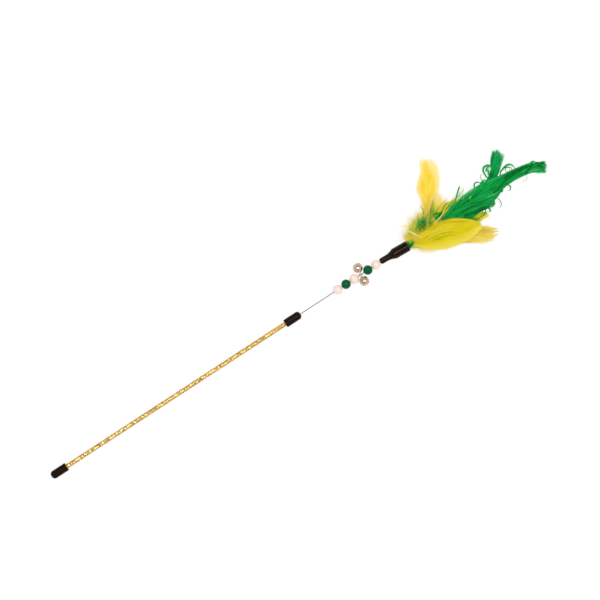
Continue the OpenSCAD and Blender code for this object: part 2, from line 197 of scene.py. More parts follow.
def noise(
    tree: Tree, place: Socket, grain: float, detail: float = 3.0, distortion: float = 0.0
) -> Socket:
    """Adds a cloudy pattern.

    Args:
        tree: The node tree.
        place: Its coordinates.
        grain: Size of its patches, in the coordinates' unit.
        detail: How many finer layers it has.
        distortion: How much it is stirred.

    Returns:
        The pattern, from 0 to 1.
    """
    settings = {"Scale": 1 / grain, "Detail": detail, "Distortion": distortion}
    return add_node(tree, "ShaderNodeTexNoise", {"Vector": place}, **settings).outputs["Fac"]


def colour_ramp(tree: Tree, factor: Socket, stops: Stops) -> Socket:
    """Adds a ramp through hex colours.

    Args:
        tree: The material's node tree.
        factor: What picks the place on the ramp.
        stops: Place and hex colour of each stop, in order.

    Returns:
        The ramp's colour output.
    """
    node = add_node(tree, "ShaderNodeValToRGB", {"Fac": factor})
    elements = node.color_ramp.elements
    while len(elements) < len(stops):
        elements.new(1.0)
    for element, (place, hex_colour) in zip(elements, stops):
        element.position = place
        element.color = linear(hex_colour)
    return node.outputs["Color"]


def mix_colour(tree: Tree, share: Socket, below: Socket, above: Socket | str) -> Socket:
    """Lays one colour over another.

    Args:
        tree: The node tree.
        share: How much of the upper one shows.
        below: The lower colour.
        above: The upper colour, a socket or a hex colour.

    Returns:
        The mixed colour.
    """
    node = add_node(tree, "ShaderNodeMix", {0: share, 6: below}, data_type="RGBA")
    feed(tree, node.inputs[7], linear(above) if isinstance(above, str) else above)
    return node.outputs[2]


class Slot(Enum):
    """The record's material slots."""

    VINYL = "black_vinyl"
    STEEL = "spring_steel"
    BLUSH = "blush_bead"
    GREEN_BEAD = "green_bead"
    NICKEL = "nickel_plate"
    PELLET = "pellet_steel"
    GLOSS_BLACK = "black_gloss"
    YELLOW = "yellow_feather"
    GREEN = "green_feather"


def set_inputs(surface: Node, **values: object) -> None:
    """Sets plain values on a shader's own sockets.

    Args:
        surface: The shader.
        **values: Input names with spaces written as underscores, and their values.
    """
    for name, value in values.items():
        surface.inputs[name.replace("_", " ")].default_value = value


def stretched(tree: Tree, place: Socket, factors: Sequence[float]) -> Socket:
    """Stretches coordinates.

    Args:
        tree: The node tree.
        place: The coordinates.
        factors: Factor on each axis.

    Returns:
        The stretched coordinates.
    """
    node = add_node(tree, "ShaderNodeMapping", {"Vector": place}, Scale=tuple(factors))
    return node.outputs["Vector"]


def object_place(tree: Tree, stretch: Point3 = (1.0, 1.0, 1.0)) -> Socket:
    """Adds the piece's own coordinates in millimetres, stretched along each axis.

    Args:
        tree: The material's node tree.
        stretch: Factor on each axis.

    Returns:
        The coordinates.
    """
    place = add_node(tree, "ShaderNodeTexCoord").outputs["Object"]
    return stretched(tree, place, [s / MM for s in stretch])


@dataclass(frozen=True)
class Finish:
    """What a surface is made of. A subclass draws its own colour, roughness and relief."""

    name: str

    def paint(self, tree: Tree, surface: Node) -> None:
        """Sets the sockets of the surface shader.

        Args:
            tree: The material's node tree.
            surface: Its Principled node.
        """
        raise NotImplementedError

    def material(self) -> bpy.types.Material:
        """Makes the material once.

        Returns:
            The material of this finish.
        """
        made = bpy.data.materials.get(self.name)
        if made is None:
            made = bpy.data.materials.new(self.name)
            made.use_nodes = True
            self.paint(made.node_tree, made.node_tree.nodes["Principled BSDF"])
        return made


@dataclass(frozen=True)
class GlitterFilm(Finish):
    """Metallised polyester flakes set in a clear film: each flake mirrors in its own direction."""

    # Real flakes are about 0.3 mm. They are drawn at 0.9 mm, the smallest that the render shows.
    flake_mm: float = 0.9
    tilt: float = 0.6

    def paint(self, tree: Tree, surface: Node) -> None:
        """Gives each flake its own gold and its own tilt.

        Args:
            tree: The material's node tree.
            surface: Its Principled node.
        """
        place = object_place(tree)
        cells = add_node(tree, "ShaderNodeTexVoronoi", {"Vector": place}, Scale=1 / self.flake_mm)
        flakes = cells.outputs["Color"]
        split = add_node(tree, "ShaderNodeSeparateColor", {"Color": flakes})
        golds = (
            (0.0, "#A67E30"), (0.25, "#C89A3E"), (0.55, "#E0B45A"), (0.8, "#F0CC7E"),
            (1.0, "#FBE4AC"),
        )
        feed(tree, surface.inputs["Base Color"], colour_ramp(tree, split.outputs["Red"], golds))
        centred = maths(tree, "SUBTRACT", flakes, (0.5, 0.5, 0.5), "VectorMath")
        tilt = add_node(
            tree, "ShaderNodeVectorMath", {0: centred}, operation="SCALE", Scale=self.tilt
        )
        facing = add_node(tree, "ShaderNodeNewGeometry").outputs["Normal"]
        tilted = maths(tree, "ADD", facing, tilt.outputs[0], "VectorMath")
        feed(
            tree, surface.inputs["Normal"], maths(tree, "NORMALIZE", tilted, kind="VectorMath")
        )
        set_inputs(
            surface, Metallic=0.7, Roughness=0.34, Coat_Weight=0.35, Coat_Roughness=0.12
        )


@dataclass(frozen=True)
class Grained(Finish):
    """A surface whose colour, roughness and relief follow one cloudy pattern.

    Attributes:
        grain_mm: Size of the pattern's patches.
        stops: The colours that the pattern runs through.
        rough: Roughness where the pattern is lowest and highest, or one for all.
        detail: How many finer layers the pattern has.
        stretch: Its stretch along each axis.
        distortion: How much it is stirred.
        relief_mm: Real height of the relief, 0 for none.
        relief_share: Share of the relief that is used.
        peel_mm: Size of the relief's own patches, where they aren't the pattern's.
        values: More values of the shader's own sockets.
    """

    grain_mm: float
    stops: Stops
    rough: float | Point2
    detail: float = 3.0
    stretch: Point3 = (1.0, 1.0, 1.0)
    distortion: float = 0.0
    relief_mm: float = 0.0
    relief_share: float = 0.5
    peel_mm: float | None = None
    values: dict[str, object] = field(default_factory=dict)

    def roughness(self, tree: Tree, pattern: Socket) -> Socket | float:
        """Gives the roughness, one for all or one that follows the pattern."""
        return self.rough if isinstance(self.rough, float) else between(tree, pattern, *self.rough)

    def paint(self, tree: Tree, surface: Node) -> None:
        """Draws the pattern and feeds it to the shader.

        Args:
            tree: The material's node tree.
            surface: Its Principled node.
        """
        place = object_place(tree, self.stretch)
        pattern = noise(tree, place, self.grain_mm, self.detail, self.distortion)
        feed(tree, surface.inputs["Base Color"], colour_ramp(tree, pattern, self.stops))
        feed(tree, surface.inputs["Roughness"], self.roughness(tree, pattern))
        if self.relief_mm:
            height = noise(tree, place, self.peel_mm, 2.0) if self.peel_mm else pattern
            bump = add_node(
                tree,
                "ShaderNodeBump",
                {"Height": height},
                Distance=self.relief_mm * MM,
                Strength=self.relief_share,
            )
            feed(tree, surface.inputs["Normal"], bump.outputs["Normal"])
        set_inputs(surface, **self.values)


@dataclass(frozen=True)
class HandledGloss(Grained):
    """A polished skin that is duller on the neck, which fingers hold.

    Places are in millimetres along the wand.
    """

    dull_to: float = 406.0
    bright_from: float = 411.0
    dulling: float = 0.24

    def roughness(self, tree: Tree, pattern: Socket) -> Socket:
        """Adds the neck's dullness to the pattern's roughness.

        Args:
            tree: The material's node tree.
            pattern: The pattern.

        Returns:
            The roughness.
        """
        skin = super().roughness(tree, pattern)
        along = add_node(tree, "ShaderNodeSeparateXYZ", {"Vector": object_place(tree)})
        ends = (self.dull_to, self.bright_from)
        neck = between(tree, along.outputs["X"], self.dulling, 0.0, *ends)
        return maths(tree, "ADD", skin, neck)


class Strip(Enum):
    """Columns of a feather's own map, as first and last share of its width."""

    BARBS = (0.0, 0.72)
    # Dark strokes of painted shade, laid where a vane folds and where parts lie in shade.
    FOLD_SHADE = (0.74, 0.78)
    DOWN = (0.8, 0.88)
    CURLS = (0.9, 0.94)
    # The quill's own colour, which also paints pale highlight streaks on the vanes.
    QUILL_AND_HIGHLIGHT = (0.96, 1.0)


BARBS, FOLD_SHADE, DOWN, CURLS, QUILL_AND_HIGHLIGHT = Strip


@dataclass(frozen=True)
class DyedFeather(Finish):
    """Dyed goose feather: silky keratin barbs, downy and paler low down."""

    shadow: str
    body: str
    light: str
    tip: str
    down_dark: str
    down_light: str
    # Colour of the dark strokes that paint shade along folds and creases.
    fold_shade: str
    # Colour of the quill, also used for the painted highlight streaks.
    quill: str = "#F2E6A8"
    slot: Slot = Slot.YELLOW
    # A clump of barbs that hold together is about 3 mm wide on a vane about 80 mm long.
    clumps: float = 26.0
    clump_share: float = 0.5
    # How far the pattern strays from its middle before it is all shadow or all light.
    spread: float = 0.16
    paling: float = 0.6
    pale_from: float = 0.6
    left_paling: float = 1.0
    # Tone of the barbs near the far end.
    far: str = "#F7E46A"
    far_share: float = 0.0
    far_from: float = 0.8

    def paint(self, tree: Tree, surface: Node) -> None:
        """Draws each barb's tone, the clumps and the paler tips from the piece's own map, with the
        painted fold shade and painted highlight strips over them.

        Args:
            tree: The material's node tree.
            surface: Its Principled node.
        """
        chart = add_node(tree, "ShaderNodeUVMap", uv_map=BAKE_MAP).outputs["UV"]
        split = add_node(tree, "ShaderNodeSeparateXYZ", {"Vector": chart})
        column, along = split.outputs["X"], split.outputs["Y"]
        fine = noise(tree, stretched(tree, chart, (420.0, 2.5, 1.0)), 1.0, 1.0)
        clump = noise(tree, stretched(tree, chart, (self.clumps * 2, 1.6, 1.0)), 1.0)
        tone = add_node(tree, "ShaderNodeMix", {2: fine, 3: clump}, data_type="FLOAT")
        tone.inputs[0].default_value = self.clump_share
        tones = (
            (0.5 - self.spread, self.shadow), (0.5, self.body), (0.5 + self.spread, self.light)
        )
        vane = colour_ramp(tree, tone.outputs[0], tones)
        paling = between(tree, along, 0.0, self.paling, self.pale_from)
        left = self.past(tree, column, BARBS.value[1] / 2)
        share = maths(tree, "MULTIPLY", paling, between(tree, left, 1.0, self.left_paling))
        colour = mix_colour(tree, share, self.far_end(tree, column, vane), self.tip)
        fluff = colour_ramp(tree, fine, ((0.35, self.down_dark), (0.65, self.down_light)))
        # Over the vane lie the strokes of painted fold shade, the down, the curls, and the quill
        # with its painted highlight streaks.
        strips = ((FOLD_SHADE, self.fold_shade), (DOWN, fluff), (CURLS, vane), (QUILL_AND_HIGHLIGHT, self.quill))
        for strip, above in strips:
            inside = self.past(tree, column, strip.value[0] - 0.01)
            colour = mix_colour(tree, inside, colour, above)
        feed(tree, surface.inputs["Base Color"], colour)
        set_inputs(surface, Roughness=0.6, Specular_IOR_Level=0.06)

    def far_end(self, tree: Tree, column: Socket, vane: Socket) -> Socket:
        """Mixes in a lighter tone near the far end. Barbs lie in the map's columns in their order.

        Args:
            tree: The material's node tree.
            column: The map's column.
            vane: The vane's colour.

        Returns:
            The mixed colour.
        """
        order = maths(tree, "FRACT", maths(tree, "DIVIDE", column, BARBS.value[1] / 2))
        share = between(tree, order, 0.0, self.far_share, self.far_from)
        return mix_colour(tree, share, vane, self.far)

    @staticmethod
    def past(tree: Tree, column: Socket, edge: float) -> Socket:
        """Gives 1 where a map column lies past an edge, else 0."""
        return maths(tree, "GREATER_THAN", column, edge)


GLITTER = GlitterFilm("metallised_glitter_film")
# Dip-moulded soft PVC: a satin black skin with rubbed patches and a faint orange peel.
VINYL = Grained(
    "dipped_black_vinyl", 6.0, ((0.3, "#0D0603"), (0.62, "#170C06"), (0.8, "#28170C")),
    rough=(0.34, 0.5), detail=5.0, relief_mm=0.06, peel_mm=0.7,
    values={"Specular_IOR_Level": 0.2, "Specular_Tint": linear("#D8A88C")},
)
# Injection-moulded ABS with a polished skin: warm black with faint flow lines.
GLOSS = HandledGloss(
    "polished_black_abs", 3.0, ((0.3, "#0A0301"), (0.7, "#120602"), (1.0, "#26120A")),
    rough=(0.16, 0.24), detail=4.0, stretch=(0.25, 1.0, 1.0), relief_mm=0.05, relief_share=0.3,
    values={"IOR": 1.5, "Specular_IOR_Level": 0.3, "Specular_Tint": linear("#E6BCA8")},
)
# Hard-drawn spring steel: grey metal with fine lines from the die along its length.
STEEL = Grained(
    "drawn_spring_steel", 0.3, ((0.25, "#544F4B"), (0.5, "#67635F"), (0.8, "#7E7A76")),
    rough=(0.38, 0.5), stretch=(0.005, 1.0, 1.0), values={"Metallic": 1.0},
)
# Injection-moulded acrylic: pearly clouds in the body, which lets light in.
BLUSH = Grained(
    "blush_acrylic", 3.0, ((0.3, "#EBD1C4"), (0.52, "#F0D9CC"), (0.78, "#F5E4DA")),
    rough=0.14, distortion=1.2,
    values={
        "IOR": 1.49,
        "Specular_IOR_Level": 0.16,
        "Subsurface_Weight": 0.2,
        "Subsurface_Radius": (1.0, 0.8, 0.7),
        "Subsurface_Scale": 2 * MM,
    },
)
# The same acrylic in dark green, which lets no light in.
DARK_GREEN = Grained(
    "green_acrylic", 3.0, ((0.3, "#004A26"), (0.52, "#005630"), (0.78, "#006838")),
    rough=0.14, distortion=1.2, values={"IOR": 1.49, "Specular_IOR_Level": 0.12},
)
# Bright nickel on stamped brass: a warm mirror with faint waves from the stamping.
NICKEL = Grained(
    "nickel_on_brass", 2.4, ((0.25, "#C8A88C"), (0.5, "#E0C6AC"), (0.8, "#F0DEC8")),
    rough=(0.18, 0.34), detail=4.0, relief_mm=0.08, values={"Metallic": 1.0},
)


def mottled(name: str, dark: str, light: str, rough: float, metallic: float = 0.0) -> Grained:
    """Gives a plain moulded, cast or tumbled finish with faint mottling."""
    return Grained(
        name, 2.0, ((0.35, dark), (0.7, light)), rough, relief_mm=0.05, relief_share=0.4,
        values={"Metallic": metallic},
    )


# Tumbled steel ball.
PELLET = mottled("tumbled_steel", "#8C8C8C", "#B8B8B8", 0.3, 1.0)
# Drawn aluminium ferrule.
FERRULE = mottled("drawn_aluminium", "#A8A6A2", "#D2D0CC", 0.35, 1.0)
# Hot glue that has set.
GLUE = mottled("set_hot_glue", "#CBB078", "#E6D3A4", 0.3)
# Extruded polystyrene tube.
TUBE = mottled("extruded_polystyrene", "#DEDDD6", "#F2F1EC", 0.45)
# Dyed goose feathers, each named for its dye.
PALE_YELLOW_DYE = DyedFeather(
    "pale_yellow_dyed_feather", shadow="#E2BE26", body="#EDCE3C", light="#F4DE72", tip="#F8EAB4",
    down_dark="#E6C838", down_light="#F6E690", fold_shade="#DDBE3A", paling=0.8, pale_from=0.45,
)
SOFT_YELLOW_DYE = DyedFeather(
    "soft_yellow_dyed_feather", shadow="#D2B236", body="#E0C74A", light="#ECDB80", tip="#F8EECC",
    down_dark="#DCC41E", down_light="#F0DE78", fold_shade="#C8A83A", paling=0.7, pale_from=0.75,
)
DEEP_YELLOW_DYE = DyedFeather(
    "deep_yellow_dyed_feather", shadow="#BEAC00", body="#CDBB02", light="#D8C70C", tip="#E8D452",
    down_dark="#E0CC1C", down_light="#F2DE5C", fold_shade="#C2AE08", quill="#F0E48A",
    paling=0.95, pale_from=0.2, left_paling=0.25,
)
FRESH_YELLOW_DYE = DyedFeather(
    "fresh_yellow_dyed_down", shadow="#D8C41C", body="#E8D838", light="#F4EA7A", tip="#FAF0A8",
    down_dark="#E0CC20", down_light="#F6E268", fold_shade="#B8CC20",
)
GREEN_DYE = DyedFeather(
    "green_dyed_feather", shadow="#006218", body="#008E36", light="#10AC58", tip="#18A85A",
    down_dark="#6CB414", down_light="#B8DC48", fold_shade="#00601A", quill="#4CB46C",
    slot=Slot.GREEN, spread=0.13, paling=0.35, far="#1EAC5A", far_share=0.7, far_from=0.86,
)
BRIGHT_GREEN_DYE = DyedFeather(
    "bright_green_dyed_feather", shadow="#00702A", body="#009642", light="#1CB066",
    tip="#A4DEB8", down_dark="#6CB414", down_light="#B8DC48", fold_shade="#007026", quill="#62C088",
    slot=Slot.GREEN, spread=0.13, paling=0.9, pale_from=0.84,
)


def joint_x(name: str) -> float:
    """Gives a joint's place along the wand, in millimetres."""
    return next(j["pos_m"][0] for j in frame["joints"] if j["name"] == name) / MM


def new_object(name: str, data: bpy.types.ID) -> bpy.types.Object:
    """Makes an object and links it to the scene."""
    made = bpy.data.objects.new(name, data)
    bpy.context.scene.collection.objects.link(made)
    return made


def shade_smooth(mesh: Mesh, sharp_deg: float = 35.0) -> None:
    """Smooths a mesh's shading except at edges sharper than an angle.

    Args:
        mesh: The mesh.
        sharp_deg: Least angle of an edge that stays sharp, in degrees.
    """
    mesh.polygons.foreach_set("use_smooth", np.ones(len(mesh.polygons), bool))
    mesh.set_sharp_from_angle(angle=math.radians(sharp_deg))
    mesh.update()


def mesh_from(bm: bmesh.types.BMesh) -> Mesh:
    """Turns a bmesh to a mesh and frees it."""
    mesh = bpy.data.meshes.new("made")
    bm.to_mesh(mesh)
    bm.free()
    return mesh


def carry(bm: bmesh.types.BMesh, faces: Faces, move: Point3) -> Faces:
    """Extrudes an end face along a move.

    Args:
        bm: The mesh in the making.
        faces: The end face.
        move: How far it goes.

    Returns:
        The new end face.
    """
    made = bmesh.ops.extrude_face_region(bm, geom=faces)["geom"]
    verts = [g for g in made if isinstance(g, bmesh.types.BMVert)]
    bmesh.ops.translate(bm, verts=verts, vec=move)
    return [g for g in made if isinstance(g, bmesh.types.BMFace)]


def make_piece(
    name: str,
    mesh: Mesh,
    finish: Finish,
    body: str | None,
    stands_for: Sequence[str],
) -> bpy.types.Object:
    """Turns a mesh in millimetres to a piece in metres and hides the CAD nodes it stands for.

    Args:
        name: The piece's name.
        mesh: Its mesh, in millimetres in the wand's frame.
        finish: What it is made of.
        body: The body it rides on, or None where it rides on none.
        stands_for: CAD nodes that it replaces.

    Returns:
        The new object.
    """
    mesh.transform(Matrix.Scale(MM, 4))
    mesh.name = name
    mesh.materials.clear()
    mesh.materials.append(finish.material())
    piece = new_object(name, mesh)
    if body is not None:
        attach(piece, body)
    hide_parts(*stands_for)
    log.info("%s: %d faces of %s", name, len(mesh.polygons), finish.name)
    return piece


def dress_node(node: str, finish: Finish) -> None:
    """Gives a CAD node that stays its finish.

    Args:
        node: The node's name.
        finish: What it is made of.
    """
    solid = frame["nodes"][node]
    if not solid.material_slots:
        solid.data.materials.append(finish.material())
    for held in solid.material_slots:
        held.material = finish.material()
    log.info("%s: kept, now %s", node, finish.name)


def spin_profile(
    corners: Sequence[Point3], closed: bool, steps: int = 96, round_steps: int = 10
) -> Mesh:
    """Turns a half profile once round the X axis.

    Args:
        corners: Place along X, radius, and rounding radius of each corner.
        closed: True for a ring that doesn't reach the axis.
        steps: Facets round the axis.
        round_steps: Facets of each rounding.

    Returns:
        A closed mesh in millimetres.
    """
    bm = bmesh.new()
    points = [bm.verts.new((x, 0.0, r)) for x, r, _ in corners]
    pairs = list(zip(points, points[1:])) + ([(points[-1], points[0])] if closed else [])
    for first, second in pairs:
        bm.edges.new((first, second))
    for point, (_, _, rounding) in zip(points, corners):
        if rounding > 0:
            bmesh.ops.bevel(
                bm,
                geom=[point],
                offset=rounding,
                offset_type="OFFSET",
                segments=round_steps,
                profile=0.5,
                affect="VERTICES",
                material=-1,
            )
    bmesh.ops.spin(
        bm,
        geom=bm.verts[:] + bm.edges[:],
        cent=(0, 0, 0),
        axis=(1, 0, 0),
        angle=TWO_PI,
        steps=steps,
        use_merge=True,
    )
    bmesh.ops.remove_doubles(bm, verts=bm.verts[:], dist=WELD)
    bmesh.ops.recalc_face_normals(bm, faces=bm.faces[:])
    mesh = mesh_from(bm)
    shade_smooth(mesh)
    return mesh


def placed(mesh: Mesh, *moves: Matrix) -> Mesh:
    """Moves a mesh by matrices, the first of them outermost.

    Args:
        mesh: The mesh.
        *moves: Rigid moves.

    Returns:
        The same mesh.
    """
    whole = Matrix.Identity(4)
    for move in moves:
        whole = whole @ move
    mesh.transform(whole)
    return mesh


def shift(x: float = 0.0, y: float = 0.0, z: float = 0.0) -> Matrix:
    """Gives a move by millimetres."""
    return Matrix.Translation((x, y, z))


def turn(degrees: float, axis: str) -> Matrix:
    """Gives a turn about a main axis."""
    return Matrix.Rotation(math.radians(degrees), 4, axis)


@dataclass(frozen=True)
class Stations:
    """Places along the wand's axis that several sub-assemblies share, in millimetres."""

    cap_d: float = 8.7
    cap_l: float = 18.5
    cap_round_r: float = 3.6
    cap_end_t: float = 2.5
    rod_d: float = 4.8
    rod_l: float = 301.0
    wire_d: float = 0.8
    bare_l: float = 41.0
    bead_d: float = 9.9
    bead_gap: float = 0.2
    bell_gap: float = 6.8
    nose_wall: float = 2.4
    socket_l: float = 33.0
    socket_lean_deg: float = 3.0

    @property
    def handle_apex_x(self) -> float:
        """Handle end of the wand."""
        return -(self.cap_l - self.cap_round_r) / 2 - self.cap_round_r

    @property
    def rod_end_x(self) -> float:
        """Front end of the rod."""
        return self.handle_apex_x + self.cap_end_t + self.rod_l

    @property
    def wire_cap_apex_x(self) -> float:
        """Front face of the front cap."""
        return self.rod_end_x + self.cap_end_t

    @property
    def bead_xs(self) -> list[float]:
        """Centres of the five beads."""
        first = self.wire_cap_apex_x + self.bare_l + self.bead_d / 2
        pitch = self.bead_d + self.bead_gap
        fourth = first + 2 * pitch + self.bead_d + self.bell_gap
        return [first, first + pitch, first + 2 * pitch, fourth, fourth + pitch]

    @property
    def neck_x(self) -> float:
        """Rear face of the feather socket."""
        return self.bead_xs[4] + self.bead_d / 2 + self.bead_gap

    @property
    def lure_moves(self) -> tuple[Matrix, Matrix, Matrix]:
        """Moves from the socket's own frame, which starts at its rear face, to the wand's."""
        half_wall = self.nose_wall / 2
        return (
            shift(self.neck_x + half_wall),
            turn(-self.socket_lean_deg, "Z"),
            shift(-half_wall),
        )


STATIONS = Stations()


@dataclass
class Handle:
    """The stiff end: a tube wrapped in glitter film, with a soft cap on each end."""

    at: Stations = STATIONS
    lip_round: float = 0.35
    hole_r: float = 0.5
    hole_round: float = 0.2
    # The caps' bore is this much wider than the rod's radius.
    slack: float = 0.02

    def cap(self, with_hole: bool) -> Mesh:
        """Spins one cap with its closed end at the origin and its mouth towards +X.

        Args:
            with_hole: True for the front cap, which the wire passes through.

        Returns:
            The cap's mesh.
        """
        at = self.at
        wall, bore = at.cap_d / 2, at.rod_d / 2 + self.slack
        mouth = [
            (0.0, wall, at.cap_round_r),
            (at.cap_l, wall, self.lip_round),
            (at.cap_l, bore, self.hole_round),
            (at.cap_end_t, bore, 0.0),
        ]
        if with_hole:
            ring = [(0.0, self.hole_r, self.hole_round), *mouth, (at.cap_end_t, self.hole_r, 0.0)]
            return spin_profile(ring, closed=True)
        return spin_profile([(0.0, 0.0, 0.0), *mouth, (at.cap_end_t, 0.0, 0.0)], closed=False)

    def build(self) -> None:
        """Makes both caps and dresses the rod."""
        at = self.at
        rear = placed(self.cap(with_hole=False), shift(at.handle_apex_x))
        make_piece("handle_cap_skin", rear, VINYL, "handle", ["handle_cap"])
        front = placed(self.cap(with_hole=True), shift(at.wire_cap_apex_x), turn(180, "Z"))
        make_piece("wire_cap_skin", front, VINYL, "handle", ["wire_cap"])
        dress_node("glitter_film", GLITTER)
        dress_node("rod_tube", TUBE)
        dress_node("wire_anchor", TUBE)


@dataclass
class SpringWire:
    """The springy wire, in two lengths with close rings where it bends."""

    at: Stations = STATIONS
    bend_reach: float = 6.0
    ring_step: float = 0.5
    sides: int = 20

    def length(self, start: float, end: float, bend_from: float, bend_to: float) -> Mesh:
        """Extrudes a round wire with close rings where it bends.

        Args:
            start: First place along X.
            end: Last place along X.
            bend_from: Where the bend starts.
            bend_to: Where the bend ends.

        Returns:
            The wire's mesh.
        """
        bm = bmesh.new()
        bmesh.ops.create_circle(
            bm,
            cap_ends=True,
            segments=self.sides,
            radius=self.at.wire_d / 2,
            matrix=shift(start) @ turn(90, "Y"),
        )
        carry(bm, bm.faces[:], (end - start, 0, 0))
        place = bend_from
        while place <= bend_to:
            if start < place < end:
                bmesh.ops.bisect_plane(
                    bm,
                    geom=bm.verts[:] + bm.edges[:] + bm.faces[:],
                    plane_co=(place, 0, 0),
                    plane_no=(1, 0, 0),
                )
            place += self.ring_step
        bmesh.ops.recalc_face_normals(bm, faces=bm.faces[:])
        mesh = mesh_from(bm)
        shade_smooth(mesh)
        return mesh

    def build(self) -> None:
        """Makes the two lengths."""
        low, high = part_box("spring_wire")
        start, end = low.x / MM, high.x / MM
        first = joint_x("wire_side_bend") - self.bend_reach
        last = joint_x("wire_up_down_bend") + self.bend_reach
        middle = (first + last) / 2
        lengths = (
            ("rear", (start, middle, first, middle), "handle", "wire"),
            ("front", (middle, end, middle, last), "wire", "lure"),
        )
        for which, span, held, moved in lengths:
            mesh = self.length(*span)
            piece = make_piece(
                f"spring_wire_{which}", mesh, STEEL, None, ["spring_wire"]
            )
            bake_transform(piece)


@dataclass
class BeadString:
    """Five round beads on the wire, pale and green in turn."""

    at: Stations = STATIONS
    bore_r: float = 0.7
    bore_round: float = 0.1
    mouth_r: float = 0.3
    arc_steps: int = 40
    # Each bead is turned further than the one before, so that their clouds differ.
    turn_deg: float = 37.0

    def bead(self) -> Mesh:
        """Spins one bead round its bore.

        Returns:
            The bead's mesh, centred on the origin.
        """
        radius = self.at.bead_d / 2
        bore_x = math.sqrt(radius**2 - self.bore_r**2) - self.mouth_r
        first = math.atan2(self.bore_r + self.mouth_r, bore_x)
        ring = []
        for i in range(self.arc_steps + 1):
            angle = first + (math.pi - 2 * first) * i / self.arc_steps
            ring.append((-radius * math.cos(angle), radius * math.sin(angle), 0.0))
        ring += [(side * bore_x, self.bore_r, self.bore_round) for side in (1, -1)]
        return spin_profile(ring, closed=True, steps=64, round_steps=3)

    def build(self) -> None:
        """Makes the five beads."""
        bodies = ["first_bead", "second_bead", "middle_bead", "fourth_bead", "fifth_bead"]
        for number, (x, body) in enumerate(zip(self.at.bead_xs, bodies), start=1):
            pale = number % 2 == 1
            finish, slot = (BLUSH, Slot.BLUSH) if pale else (DARK_GREEN, Slot.GREEN_BEAD)
            mesh = placed(self.bead(), shift(x), turn(self.turn_deg * number, "X"))
            make_piece(f"round_bead_{number}", mesh, finish, body, [f"bead_{number}"])


